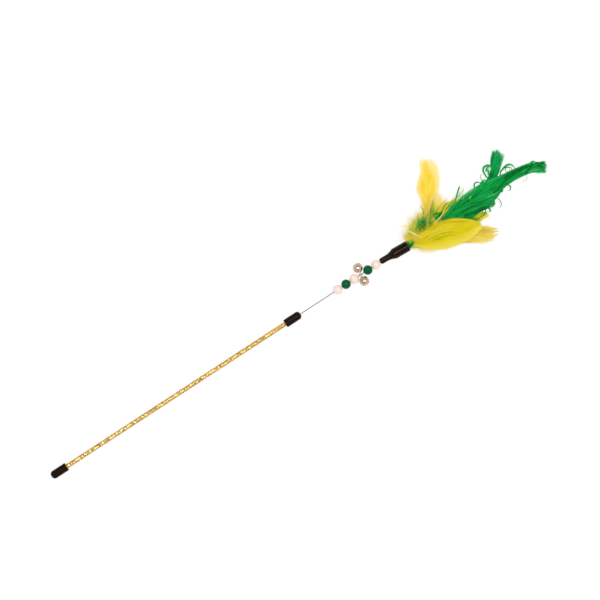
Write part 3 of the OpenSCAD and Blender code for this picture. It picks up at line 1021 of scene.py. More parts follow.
@dataclass
class JingleBell:
    """One stamped bell: a thin shell with crossed slots, a wire loop and a loose pellet."""

    letter: str
    side: int
    at: Stations = STATIONS
    bell_d: float = 10.0
    wall: float = 0.45
    reach: float = 7.4
    slot_w: float = 0.9
    slot_end_d: float = 1.5
    slot_reach_deg: float = 56.0
    slot_turn_deg: float = 45.0
    loop_wire_d: float = 0.7
    loop_in_w: float = 1.9
    loop_turn_deg: float = 25.0
    loop_steps: int = 20
    # How deep the loop's feet reach into the shell.
    foot_depth: float = 0.12
    pellet_d: float = 3.0
    rest_drop: float = 0.6

    @property
    def moves(self) -> tuple[Matrix, Matrix]:
        """Moves from the bell's own frame, with the wire on its -Y side, to the wand's."""
        rest = math.degrees(math.asin(self.rest_drop / self.reach))
        turned = -rest if self.side > 0 else 180 + rest
        hinge = joint_x(f"bell_{self.letter}_swing")
        return shift(hinge), turn(turned, "X") @ shift(0, self.reach, 0)

    def slot_cutter(self) -> Mesh:
        """Makes the two crossed slots with their round ends, as one cutting body.

        Returns:
            The cutter's mesh in the bell's own frame.
        """
        radius = self.bell_d / 2
        lean = math.radians(self.slot_reach_deg)
        bm = bmesh.new()
        for angle in (self.slot_turn_deg, -self.slot_turn_deg):
            about = turn(angle, "Y")
            size = Matrix.Diagonal((2 * radius * math.sin(lean), radius, self.slot_w, 1.0))
            middle = shift(0, radius * math.cos(lean) + radius / 2, 0)
            bmesh.ops.create_cube(bm, size=1.0, matrix=about @ middle @ size)
            for sign in (1, -1):
                drill = turn(sign * self.slot_reach_deg, "Z") @ shift(0, radius, 0)
                bmesh.ops.create_cone(
                    bm,
                    cap_ends=True,
                    segments=24,
                    radius1=self.slot_end_d / 2,
                    radius2=self.slot_end_d / 2,
                    depth=radius,
                    matrix=about @ drill @ turn(90, "X"),
                )
        bmesh.ops.recalc_face_normals(bm, faces=bm.faces[:])
        return mesh_from(bm)

    def shell(self) -> Mesh:
        """Cuts the slots into a hollow ball.

        Returns:
            The shell's mesh in the bell's own frame.
        """
        bm = bmesh.new()
        upright = turn(90, "X")
        bmesh.ops.create_uvsphere(
            bm, u_segments=96, v_segments=48, radius=self.bell_d / 2, matrix=upright
        )
        outer_faces = bm.faces[:]
        inner = bmesh.ops.create_uvsphere(
            bm, u_segments=72, v_segments=36, radius=self.bell_d / 2 - self.wall, matrix=upright
        )
        inner_faces = {f for v in inner["verts"] for f in v.link_faces}
        bmesh.ops.recalc_face_normals(bm, faces=outer_faces)
        bmesh.ops.reverse_faces(bm, faces=list(inner_faces))
        ball = new_object("ball", mesh_from(bm))
        cutter = new_object("cutter", self.slot_cutter())
        cut = ball.modifiers.new("slots", "BOOLEAN")
        cut.operation, cut.solver, cut.object = "DIFFERENCE", "EXACT", cutter
        cut.use_self = True
        bpy.context.view_layer.update()
        view = ball.evaluated_get(bpy.context.evaluated_depsgraph_get())
        result = bpy.data.meshes.new_from_object(view)
        for scratch in (ball, cutter):
            bpy.data.objects.remove(scratch)
        shade_smooth(result, 40.0)
        return result

    def shank(self) -> Mesh:
        """Bends the loop of wire that holds the bell: two legs and a half ring.

        Returns:
            The loop's mesh in the bell's own frame.
        """
        loop_r = (self.loop_in_w + self.loop_wire_d) / 2
        foot = -self.bell_d / 2 + self.foot_depth
        leg = -self.reach - foot
        bm = bmesh.new()
        bmesh.ops.create_circle(
            bm,
            cap_ends=True,
            segments=16,
            radius=self.loop_wire_d / 2,
            matrix=shift(0, foot, loop_r) @ turn(90, "X"),
        )
        spun = bmesh.ops.spin(
            bm,
            geom=carry(bm, bm.faces[:], (0, leg, 0)),
            cent=(0, -self.reach, 0),
            axis=(1, 0, 0),
            angle=math.pi,
            steps=self.loop_steps,
            use_merge=False,
        )
        face = [f for f in spun["geom_last"] if isinstance(f, bmesh.types.BMFace)]
        carry(bm, face, (0, -leg, 0))
        bmesh.ops.rotate(
            bm,
            verts=bm.verts[:],
            cent=(0, 0, 0),
            matrix=turn(self.side * self.loop_turn_deg, "Y").to_3x3(),
        )
        bmesh.ops.remove_doubles(bm, verts=bm.verts[:], dist=WELD)
        bmesh.ops.recalc_face_normals(bm, faces=bm.faces[:])
        mesh = mesh_from(bm)
        shade_smooth(mesh)
        return mesh

    def pellet(self) -> Mesh:
        """Makes the loose steel pellet at the CAD pellet's place.

        Returns:
            The pellet's mesh in the wand's frame.
        """
        bm = bmesh.new()
        bmesh.ops.create_uvsphere(bm, u_segments=40, v_segments=20, radius=self.pellet_d / 2)
        mesh = mesh_from(bm)
        shade_smooth(mesh, 60.0)
        low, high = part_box(f"bell_{self.letter}_pellet")
        return placed(mesh, shift(*(low + high) / 2 / MM))

    def build(self) -> None:
        """Makes the shell, its loop and its pellet."""
        body = f"bell_{self.letter}"
        shell = placed(self.shell(), *self.moves)
        make_piece(f"{body}_stamped_shell", shell, NICKEL, body, [f"{body}_shell"])
        loop = placed(self.shank(), *self.moves)
        make_piece(f"{body}_wire_loop", loop, NICKEL, body, [f"{body}_shank"])
        ball, inner = self.pellet(), f"pellet_{self.letter}"
        make_piece(f"{body}_round_pellet", ball, PELLET, inner, [f"{body}_pellet"])


@dataclass
class FeatherSocket:
    """The bottle-shaped socket, its ferrule and the glue that holds the quills."""

    at: Stations = STATIONS
    neck_d: float = 6.4
    neck_l: float = 10.9
    shoulder_l: float = 5.7
    body_d: float = 11.2
    wall: float = 1.2
    rim_r: float = 0.5
    chamfer: float = 1.1
    ridge_h: float = 0.25
    ridge_w: float = 1.0
    nose_bore_r: float = 0.5
    chamber_r: float = 1.6

    def skin(self) -> Mesh:
        """Spins the socket with soft corners and a rounded ridge at its shoulder.

        Returns:
            The socket's mesh in its own frame.
        """
        neck, body = self.neck_d / 2, self.body_d / 2
        ledge = self.neck_l + self.shoulder_l
        mouth = self.at.socket_l
        bore = body - self.wall
        ridge = body + self.ridge_h
        ring = [
            (0.0, self.nose_bore_r, 0.0),
            (0.0, neck - self.chamfer, 0.5),
            (self.chamfer, neck, 0.6),
            (self.neck_l, neck, 3.0),
            (ledge, body, 0.12),
            (ledge, ridge, 0.12),
            (ledge + self.ridge_w, ridge, 0.12),
            (ledge + self.ridge_w, body, 0.12),
            (mouth, body, self.rim_r),
            (mouth, bore, 0.4),
            (ledge, bore, 0.0),
            (ledge, self.chamber_r, 0.0),
            (self.at.nose_wall, self.chamber_r, 0.0),
            (self.at.nose_wall, self.nose_bore_r, 0.0),
        ]
        return spin_profile(ring, closed=True, steps=128, round_steps=8)

    def build(self) -> None:
        """Makes the socket's skin and dresses what it hides."""
        skin = placed(self.skin(), *self.at.lure_moves)
        make_piece("socket_skin", skin, GLOSS, "lure", ["feather_socket"])
        dress_node("wire_crimp", FERRULE)
        dress_node("quill_plug", GLUE)


Table = Sequence[Point2]


def read_table(table: Table, t: np.ndarray) -> np.ndarray:
    """Reads a table of (place, value) pairs between its entries."""
    places, values = zip(*table)
    return np.interp(t, places, values)


def unit(v: np.ndarray) -> np.ndarray:
    """Scales vectors to a length of one."""
    return v / np.maximum(np.linalg.norm(v, axis=-1, keepdims=True), 1e-9)


def drift(rng: np.random.Generator, count: int, period: float) -> np.ndarray:
    """Makes slow random values from -1 to 1 along a row.

    Args:
        rng: Source of chance, seeded.
        count: How many values.
        period: Steps between two turning points.

    Returns:
        The values.
    """
    knots = rng.uniform(-1, 1, int(count / period) + 3)
    place = np.arange(count) / period
    low = place.astype(int)
    share = place - low
    share = share * share * (3 - 2 * share)
    return knots[low] * (1 - share) + knots[low + 1] * share


@dataclass
class Strands:
    """Thin tapered strands that share one count of rings: barbs, down, curls or a quill.

    Arrays hold one row for each strand and one column for each ring, in millimetres.
    """

    centre: np.ndarray
    lift: np.ndarray
    half_width: np.ndarray
    half_thick: np.ndarray
    tilt: np.ndarray
    strip: Strip
    corners: int = 4
    strip_from: float = 0.0
    strip_to: float = 1.0
    # A strand's half width as a share of its own column of the map.
    map_fill: float = 0.42
    # Distance of the straight strands from each other, each 2 wide, before they are bent.
    pitch: int = 10

    def comb(self) -> Mesh:
        """Makes straight closed strands side by side, which are then bent to their places.

        Returns:
            A mesh whose vertices stand at (pitch x strand + x, y, ring).
        """
        count, rings = self.centre.shape[:2]
        bm = bmesh.new()
        bmesh.ops.create_circle(bm, cap_ends=True, segments=self.corners, radius=1.0)
        face = bm.faces[:]
        for _ in range(rings - 1):
            face = carry(bm, face, (0, 0, 1))
        bmesh.ops.recalc_face_normals(bm, faces=bm.faces[:])
        held = 1
        while held < count:
            every = bm.verts[:] + bm.edges[:] + bm.faces[:]
            copied = bmesh.ops.duplicate(bm, geom=every)
            verts = [g for g in copied["geom"] if isinstance(g, bmesh.types.BMVert)]
            bmesh.ops.translate(bm, verts=verts, vec=(self.pitch * held, 0, 0))
            held *= 2
        extra = [v for v in bm.verts if v.co.x > self.pitch * (count - 0.5)]
        bmesh.ops.delete(bm, geom=extra, context="VERTS")
        return mesh_from(bm)

    def mesh(self) -> Mesh:
        """Bends the comb to the strands' places and lays out its map.

        Returns:
            The strands' mesh.
        """
        made = self.comb()
        count, rings = self.centre.shape[:2]
        flat = np.empty(len(made.vertices) * 3, np.float32)
        made.vertices.foreach_get("co", flat)
        co = flat.reshape(-1, 3).astype(float)
        row = np.rint(co[:, 0] / self.pitch).astype(int)
        ring = np.rint(co[:, 2]).astype(int)
        x, y = co[:, 0] - self.pitch * row, co[:, 1]
        along = unit(np.gradient(self.centre, axis=1))
        side = unit(np.cross(self.lift, along))
        top = np.cross(along, side)
        tilt = np.broadcast_to(np.asarray(self.tilt, float).reshape(-1, 1, 1), (count, rings, 1))
        wide = side * np.cos(tilt) + top * np.sin(tilt)
        thick = top * np.cos(tilt) - side * np.sin(tilt)
        place = (
            self.centre[row, ring]
            + wide[row, ring] * (self.half_width[row, ring] * x)[:, None]
            + thick[row, ring] * (self.half_thick[row, ring] * y)[:, None]
        )
        made.vertices.foreach_set("co", place.astype(np.float32).ravel())
        loops = np.empty(len(made.loops), np.int32)
        made.loops.foreach_get("vertex_index", loops)
        start, end = self.strip.value
        first = start + (end - start) * self.strip_from
        last = start + (end - start) * self.strip_to
        column = first + (last - first) * (row + 0.5 + self.map_fill * x) / count
        chart = np.stack([column, ring / (rings - 1)], axis=1)[loops]
        layer = made.uv_layers.new(name=BAKE_MAP)
        layer.data.foreach_set("uv", chart.astype(np.float32).ravel())
        made.update()
        return made


def joined(meshes: Sequence[Mesh]) -> Mesh:
    """Joins meshes into one and drops the originals."""
    bm = bmesh.new()
    for mesh in meshes:
        bm.from_mesh(mesh)
    for mesh in meshes:
        bpy.data.meshes.remove(mesh)
    return mesh_from(bm)


class Tip(Enum):
    """How a feather's far end looks."""

    SOFT = "soft"
    CUT = "cut"
    FRAYED = "frayed"


LEAF: Table = [(0, 0), (0.12, 0.1), (0.3, 0.62), (0.5, 1), (0.72, 0.94), (0.88, 0.6), (1, 0.34)]
UPRIGHT_LEFT: Table = [
    (0, 0), (0.2, 0.06), (0.5, 0.3), (0.61, 0.56), (0.73, 0.94), (0.8, 0.8), (0.9, 0.4), (1, 0.4),
]
UPRIGHT_RIGHT: Table = [
    (0, 0), (0.2, 0.1), (0.45, 0.56), (0.63, 0.8), (0.8, 1.0), (0.9, 1.02), (0.96, 0.86), (1, 0.5),
]
FRONT_LEFT: Table = [
    (0, 0.1), (0.16, 0.34), (0.24, 0.58), (0.37, 0.76), (0.5, 0.95), (0.63, 0.95),
    (0.74, 0.82), (0.82, 0.7), (0.91, 0.5), (1, 0.2),
]
FRONT_RIGHT: Table = [
    (0, 0.1), (0.14, 0.24), (0.24, 0.5), (0.37, 0.86), (0.5, 0.98), (0.63, 0.9),
    (0.74, 0.8), (0.82, 0.72), (0.91, 0.52), (1, 0.2),
]
BACK_LEFT: Table = [
    (0, 0), (0.14, 0.1), (0.35, 0.6), (0.6, 0.9), (0.83, 0.72), (0.9, 0.64), (1, 0.4),
]
BACK_RIGHT: Table = [
    (0, 0), (0.14, 0.1), (0.35, 0.6), (0.6, 0.85), (0.75, 1.0), (0.86, 1.1), (0.94, 1.0), (1, 0.5),
]
SPEAR: Table = [(0, 0), (0.14, 0.1), (0.35, 0.6), (0.6, 1), (0.8, 0.8), (0.94, 0.6), (1, 0.2)]
SLIM: Table = [(0, 0), (0.14, 0.1), (0.35, 0.5), (0.6, 0.74), (0.76, 0.72), (0.84, 0.46), (1, 0.2)]
LONG_LEFT: Table = [
    (0, 0), (0.16, 0.08), (0.27, 0.28), (0.37, 0.62), (0.45, 0.7), (0.53, 0.7), (0.65, 0.66),
    (0.7, 0.53), (0.75, 0.5), (0.8, 0.54), (0.87, 0.56), (0.92, 0.54), (0.945, 0.36), (1, 0.42),
]
LONG_RIGHT: Table = [
    (0, 0), (0.16, 0.1), (0.3, 0.4), (0.4, 0.72), (0.5, 0.9), (0.55, 1), (0.6, 0.97),
    (0.66, 0.7), (0.7, 0.46), (0.76, 0.34), (0.83, 0.3), (0.88, 0.21), (0.93, 0.24), (1, 0.46),
]
UPTURNED_LEFT: Table = [
    (0, 0), (0.2, 0.1), (0.4, 0.5), (0.6, 0.5), (0.74, 0.38), (0.82, 0.5), (0.87, 0.9),
    (0.93, 1.06), (1, 0.94),
]
UPTURNED_RIGHT: Table = [
    (0, 0), (0.2, 0.1), (0.4, 0.5), (0.6, 0.5), (0.76, 0.5), (0.84, 0.37), (0.9, 0.44),
    (0.95, 0.72), (1, 0.9),
]
TUFT: Table = [(0, 0), (0.26, 0.2), (0.55, 1), (0.8, 0.9), (1, 0.4)]


@dataclass
class Curl:
    """One loose barb that springs off a feather and curls, through given places.

    Places are along and left from the socket's mouth, in millimetres. Curls in the fold shade
    strip are strokes of painted shade; thin curls in the quill strip are strokes of painted
    highlight, except where one shows a quill.
    """

    places: Sequence[Point2]
    height: float
    half_width: float = 0.5
    rise: float = 1.0
    strip: Strip = CURLS
    copies: int = 1
    spread: float = 0.4
    # The places were read off the photograph, which shows what stands high a little further out.
    slant: Point2 = (-0.7, -0.8)

    def fan(self, rng: np.random.Generator) -> "list[Curl]":
        """Splits the barb into thin ones that run side by side.

        Args:
            rng: Source of chance, seeded.

        Returns:
            The curls, this one alone where it has no copies.
        """
        if self.copies == 1:
            return [self]
        made = []
        for _ in range(self.copies):
            held = np.array(self.places, float) + rng.normal(0, self.spread, 2)
            held = held + rng.normal(0, self.spread / 4, held.shape)
            lift = self.height + rng.uniform(-0.3, 0.1)
            made.append(replace(self, places=held, height=lift, copies=1))
        return made

    def path(self, rings: int) -> np.ndarray:
        """Runs a smooth curve through the places.

        Args:
            rings: How many points.

        Returns:
            The points.
        """
        held = np.array(self.places, float) + np.array(self.slant)
        padded = np.concatenate([[2 * held[0] - held[1]], held, [2 * held[-1] - held[-2]]])
        share = np.linspace(0, len(held) - 1, rings)
        low = np.minimum(share.astype(int), len(held) - 2)
        u = (share - low)[:, None]
        before, first, second, after = (padded[low + i] for i in range(4))
        flat = 0.5 * (
            2 * first
            + (second - before) * u
            + (2 * before - 5 * first + 4 * second - after) * u**2
            + (3 * first - before - 3 * second + after) * u**3
        )
        lift = self.height + self.rise * np.sin(math.pi * np.linspace(0, 1, rings) * 0.8)
        return np.concatenate([flat, lift[:, None]], axis=1)


@dataclass
class Wisps:
    """A loose bunch of hair-thin barbs that start close together and fan out.

    Places are along, left and up from the socket's mouth, in millimetres.
    """

    count: int
    start: Point3
    spread: Point3
    end: Point3
    fan: float
    bow: float = 2.0
    half_width: float = 0.11
    strip: Strip = DOWN

    def strands(self, rng: np.random.Generator) -> Strands:
        """Lays the bunch.

        Args:
            rng: Source of chance, seeded.

        Returns:
            The strands.
        """
        count, rings = self.count, 8
        start = np.array(self.start) + rng.uniform(-1, 1, (count, 3)) * np.array(self.spread)
        fan = rng.normal(0, self.fan / 2, (count, 3)) * np.array([1, 1, 0.45])
        reach = rng.uniform(0.55, 1.08, (count, 1))
        end = start + (np.array(self.end) + fan - start) * reach
        sway = rng.normal(0, self.bow / 2, (count, 3)) * np.array([1, 1, 0.5])
        middle = (start + end) / 2 + sway
        tau = np.linspace(0, 1, rings)[None, :, None]
        centre = (
            (1 - tau) ** 2 * start[:, None]
            + 2 * tau * (1 - tau) * middle[:, None]
            + tau**2 * end[:, None]
        )
        hook = rng.normal(0, self.bow / 3, (count, 1, 3)) * tau**4
        taper = np.maximum(1 - tau[..., 0] ** 2, 0.15)
        half = self.half_width * np.broadcast_to(taper, (count, rings))
        lift = np.broadcast_to(UP, centre.shape)
        return Strands(
            centre + hook, lift, half, half * 0.6, np.zeros(count), self.strip, corners=3
        )


@dataclass
class Feather:
    """One feather: a quill on a curved spine, barbs on both sides, down low on it and curls."""

    name: str
    finish: DyedFeather
    reach: float
    width: float
    root: Point2
    path: Sequence[Point3]
    left: Table
    right: Table | None = None
    rolls: Table = ((0, 0), (1, 0))
    camber: float = 0.06
    tip: Tip = Tip.SOFT
    barbs: int = 230
    sweep: float = 0.34
    low_sweep: float = 0.4
    leave: float = 1.0
    lead: float = 1.5
    ruffle: float = 0.16
    prong: float = 0.1
    slant: float = 0.0
    fringe: int = 0
    fringe_reach: float = 0.16
    first_barb: float = 0.14
    down_count: int = 60
    down_to: float = 0.2
    down_l: float = 9.0
    curls: Sequence[Curl] = ()
    seed: int = 1
    at: Stations = STATIONS
    cavity_r: float = 4.4
    recess: float = 4.0
    grip_l: float = 6.0
    quill_r: float = 0.6
    barb_w: float = 0.42
    barb_t: float = 0.09
    loose_w: float = 0.16
    # Share of its width that a cut barb keeps at its end.
    cut_keep: float = 0.45
    last_barb: float = 0.985
    # Barbs between two turning points of the clumps and of the vane's ripples.
    clump_barbs: int = 9
    ripple_barbs: int = 17
    down_w: float = 0.22
    # Share of the down's spread that stands up.
    down_flat: float = 0.55
    quill_lift: float = -0.55
    wisps: Sequence[Wisps] = ()

    def spine(self, t: np.ndarray) -> tuple[np.ndarray, np.ndarray]:
        """Gives places and directions along the spine, straight on past its end.

        Args:
            t: Places from 0, at the glue, to 1, at the tip.

        Returns:
            The points and the unit directions.
        """
        root = np.array([-self.recess, self.root[0] * self.cavity_r, self.root[1] * self.cavity_r])
        p0, p1, p2, p3 = [root, *(self.reach * np.array(p) for p in self.path)]
        side1, side2, side3 = p1 - p0, p2 - p1, p3 - p2
        inside = np.clip(t, 0, 1)[..., None]
        past = np.asarray(t)[..., None] - inside
        rest = 1 - inside
        point = rest**3 * p0 + 3 * inside * rest**2 * p1 + 3 * inside**2 * rest * p2
        point = point + inside**3 * p3
        slope = 3 * (rest**2 * side1 + 2 * inside * rest * side2 + inside**2 * side3)
        return point + past * slope, unit(slope)

    def frame_at(self, t: np.ndarray) -> tuple[np.ndarray, np.ndarray, np.ndarray]:
        """Gives the spine's point, and the vane's side and up directions there."""
        point, along = self.spine(t)
        flat_side = unit(np.cross(UP, along))
        flat_up = np.cross(along, flat_side)
        roll = np.radians(read_table(self.rolls, np.clip(t, 0, 1)))[..., None]
        side = flat_side * np.cos(roll) + flat_up * np.sin(roll)
        up = flat_up * np.cos(roll) - flat_side * np.sin(roll)
        return point, side, up

    def on_vane(self, t: np.ndarray, share: np.ndarray, lift: np.ndarray) -> np.ndarray:
        """Gives places on the vane.

        Args:
            t: Places along the spine.
            share: Places across, from -1 on the right edge to 1 on the left.
            lift: Height over the vane, in millimetres.

        Returns:
            The points.
        """
        point, side, up = self.frame_at(t)
        inside = np.clip(t, 0, 1)
        shares = np.where(
            share > 0, read_table(self.left, inside), read_table(self.right or self.left, inside)
        )
        half = self.width / 2 * shares
        drop = self.camber * half * share**2
        return point + side * (half * share)[..., None] + up * (lift - drop)[..., None]

    def barb_row(self, rng: np.random.Generator, side: int, loose: bool = False) -> Strands:
        """Lays the barbs of one side of the vane.

        Args:
            rng: Source of chance, seeded.
            side: 1 for the left side, -1 for the right.
            loose: True for the few thin barbs that reach past the vane's edge.

        Returns:
            The strands.
        """
        count, rings = (self.fringe if loose else self.barbs), 10
        t0 = np.linspace(self.first_barb, self.last_barb, count)
        clump = drift(rng, count, self.clump_barbs)
        ripple = drift(rng, count, self.ripple_barbs)
        fine = rng.normal(0, 1, count)
        grown = np.clip((t0 - self.first_barb) / 0.3, 0, 1)
        eased = self.low_sweep + (1 - self.low_sweep) * grown * (2 - grown)
        sweep = self.sweep * eased * (0.75 + 0.25 * (1 - t0)) * (1 + 0.05 * clump + 0.03 * fine)
        end = t0 + sweep
        over = np.clip((end - 1) / sweep, 0, 1)
        share_end = (1 - over) * (1 + 0.035 * clump + 0.03 * fine)
        if loose:
            share_end = share_end * (1 + self.fringe_reach * rng.uniform(0, 1, count) ** 2)
        if self.tip is Tip.FRAYED:
            prong = np.abs(np.sin(1.5 * math.pi * (side * share_end + 1)))
            limit = 1 - self.prong * (1 - prong) + 0.012 * fine
        elif self.tip is Tip.CUT:
            short = self.slant * np.maximum(-side * share_end, 0)
            limit = 1 + 0.004 * fine + 0.008 * clump - short
        else:
            limit = 1 - 0.03 * np.abs(clump) + 0.012 * fine
        if loose:
            limit = limit + self.fringe_reach * 0.14 * rng.uniform(0, 1, count) ** 2
        end = np.minimum(end, limit)
        tau = np.linspace(0, 1, rings)[None, :]
        t = t0[:, None] + (end - t0)[:, None] * tau**1.1
        out = 1 - (1 - tau**self.leave) ** self.lead
        share = side * share_end[:, None] * out
        waves = self.ruffle * (ripple + 0.6 * clump)
        lift = waves[:, None] * tau + (0.06 * fine)[:, None] * tau**2
        centre = self.on_vane(t, share, lift)
        _, _, up = self.frame_at(t)
        keep = self.cut_keep if self.tip is Tip.CUT else 0.0
        cut_now = (over > 0)[:, None]
        taper = np.where(cut_now, 1 - (1 - keep) * tau**6, 1 - tau**3.5)
        width = self.loose_w if loose else self.barb_w
        half = width / 2 * np.maximum(taper, 0.12)
        thick = self.barb_t / 2 * np.maximum(taper, 0.25)
        tilt = np.full(count, side * 0.15) + 0.12 * fine
        low = 0.5 if side > 0 else 0.0
        return Strands(
            centre, up, half, thick, tilt, BARBS, strip_from=low, strip_to=low + 0.5
        )

    def quill(self) -> Strands:
        """Lays the quill from inside the glue to near the tip."""
        rings = 44
        share = np.linspace(0, 1, rings)
        t = 0.96 * share**1.05
        point, _, up = self.frame_at(t)
        point = point + up * (self.quill_lift * np.clip(t / 0.15, 0, 1))[:, None]
        grip = point[0] - np.array([self.grip_l, 0, 0])
        centre = np.concatenate([[grip], point])[None]
        radius = self.quill_r * np.concatenate([[1], np.maximum((1 - share) ** 0.7, 0.12)])[None]
        top = np.broadcast_to(UP, centre.shape)
        return Strands(centre, top, radius, radius * 0.85, np.zeros(1), QUILL_AND_HIGHLIGHT, corners=10)

    def down(self, rng: np.random.Generator) -> Strands:
        """Lays the soft down that stands off the lower quill.

        Args:
            rng: Source of chance, seeded.

        Returns:
            The strands.
        """
        count, rings = self.down_count, 7
        t0 = rng.uniform(0.05, self.down_to, count)
        point, side, up = self.frame_at(t0)
        _, along = self.spine(t0)
        turned = rng.uniform(0, TWO_PI, count)
        out = unit(
            side * np.cos(turned)[:, None]
            + up * (self.down_flat * np.sin(turned))[:, None]
            + along * rng.uniform(0.15, 0.9, count)[:, None]
        )
        bend = unit(along * 1.2 + rng.normal(0, 0.35, (count, 3)))
        length = self.down_l * rng.uniform(0.45, 1.0, count)
        tau = np.linspace(0, 1, rings)[None, :, None]
        centre = (
            point[:, None]
            + out[:, None] * (length[:, None, None] * tau)
            + bend[:, None] * (0.5 * length[:, None, None] * tau**2)
        )
        centre = centre + rng.normal(0, 0.35, (count, 1, 3)) * np.sin(tau * math.pi * 1.7)
        taper = np.maximum(1 - tau[..., 0], 0.15)
        half = self.down_w / 2 * np.broadcast_to(taper, (count, rings))
        lift = np.broadcast_to(UP, centre.shape)
        return Strands(centre, lift, half, half * 0.7, np.zeros(count), DOWN, corners=3)

    @staticmethod
    def curl_row(curls: Sequence[Curl]) -> Strands:
        """Lays curled barbs that share a column of the map."""
        rings = 64
        centre = np.stack([c.path(rings) for c in curls])
        share = np.linspace(0, 1, rings)[None, :]
        width = np.array([c.half_width for c in curls])[:, None]
        half = width * (0.6 + 0.4 * np.sin(np.pi * share)) * np.maximum(1 - share**5, 0.3)
        lift = np.broadcast_to(UP, centre.shape)
        thick = np.minimum(half * 0.5, 0.2)
        return Strands(centre, lift, half, thick, np.full(len(curls), 0.25), curls[0].strip)

    def build(self) -> None:
        """Makes the feather and puts it in the socket."""
        rng = np.random.default_rng(self.seed)
        rows = [self.quill(), self.down(rng)]
        if self.barbs:
            rows += [self.barb_row(rng, 1), self.barb_row(rng, -1)]
        if self.fringe:
            rows += [self.barb_row(rng, 1, loose=True), self.barb_row(rng, -1, loose=True)]
        rows += [bunch.strands(rng) for bunch in self.wisps]
        for strip in Strip:
            held = [thin for c in self.curls if c.strip is strip for thin in c.fan(rng)]
            if held:
                rows.append(self.curl_row(held))
        mesh = joined([row.mesh() for row in rows])
        placed(mesh, *self.at.lure_moves, shift(self.at.socket_l))
        shade_smooth(mesh, 60.0)
        make_piece(f"{self.name}_barbs", mesh, self.finish, "lure", [self.name])


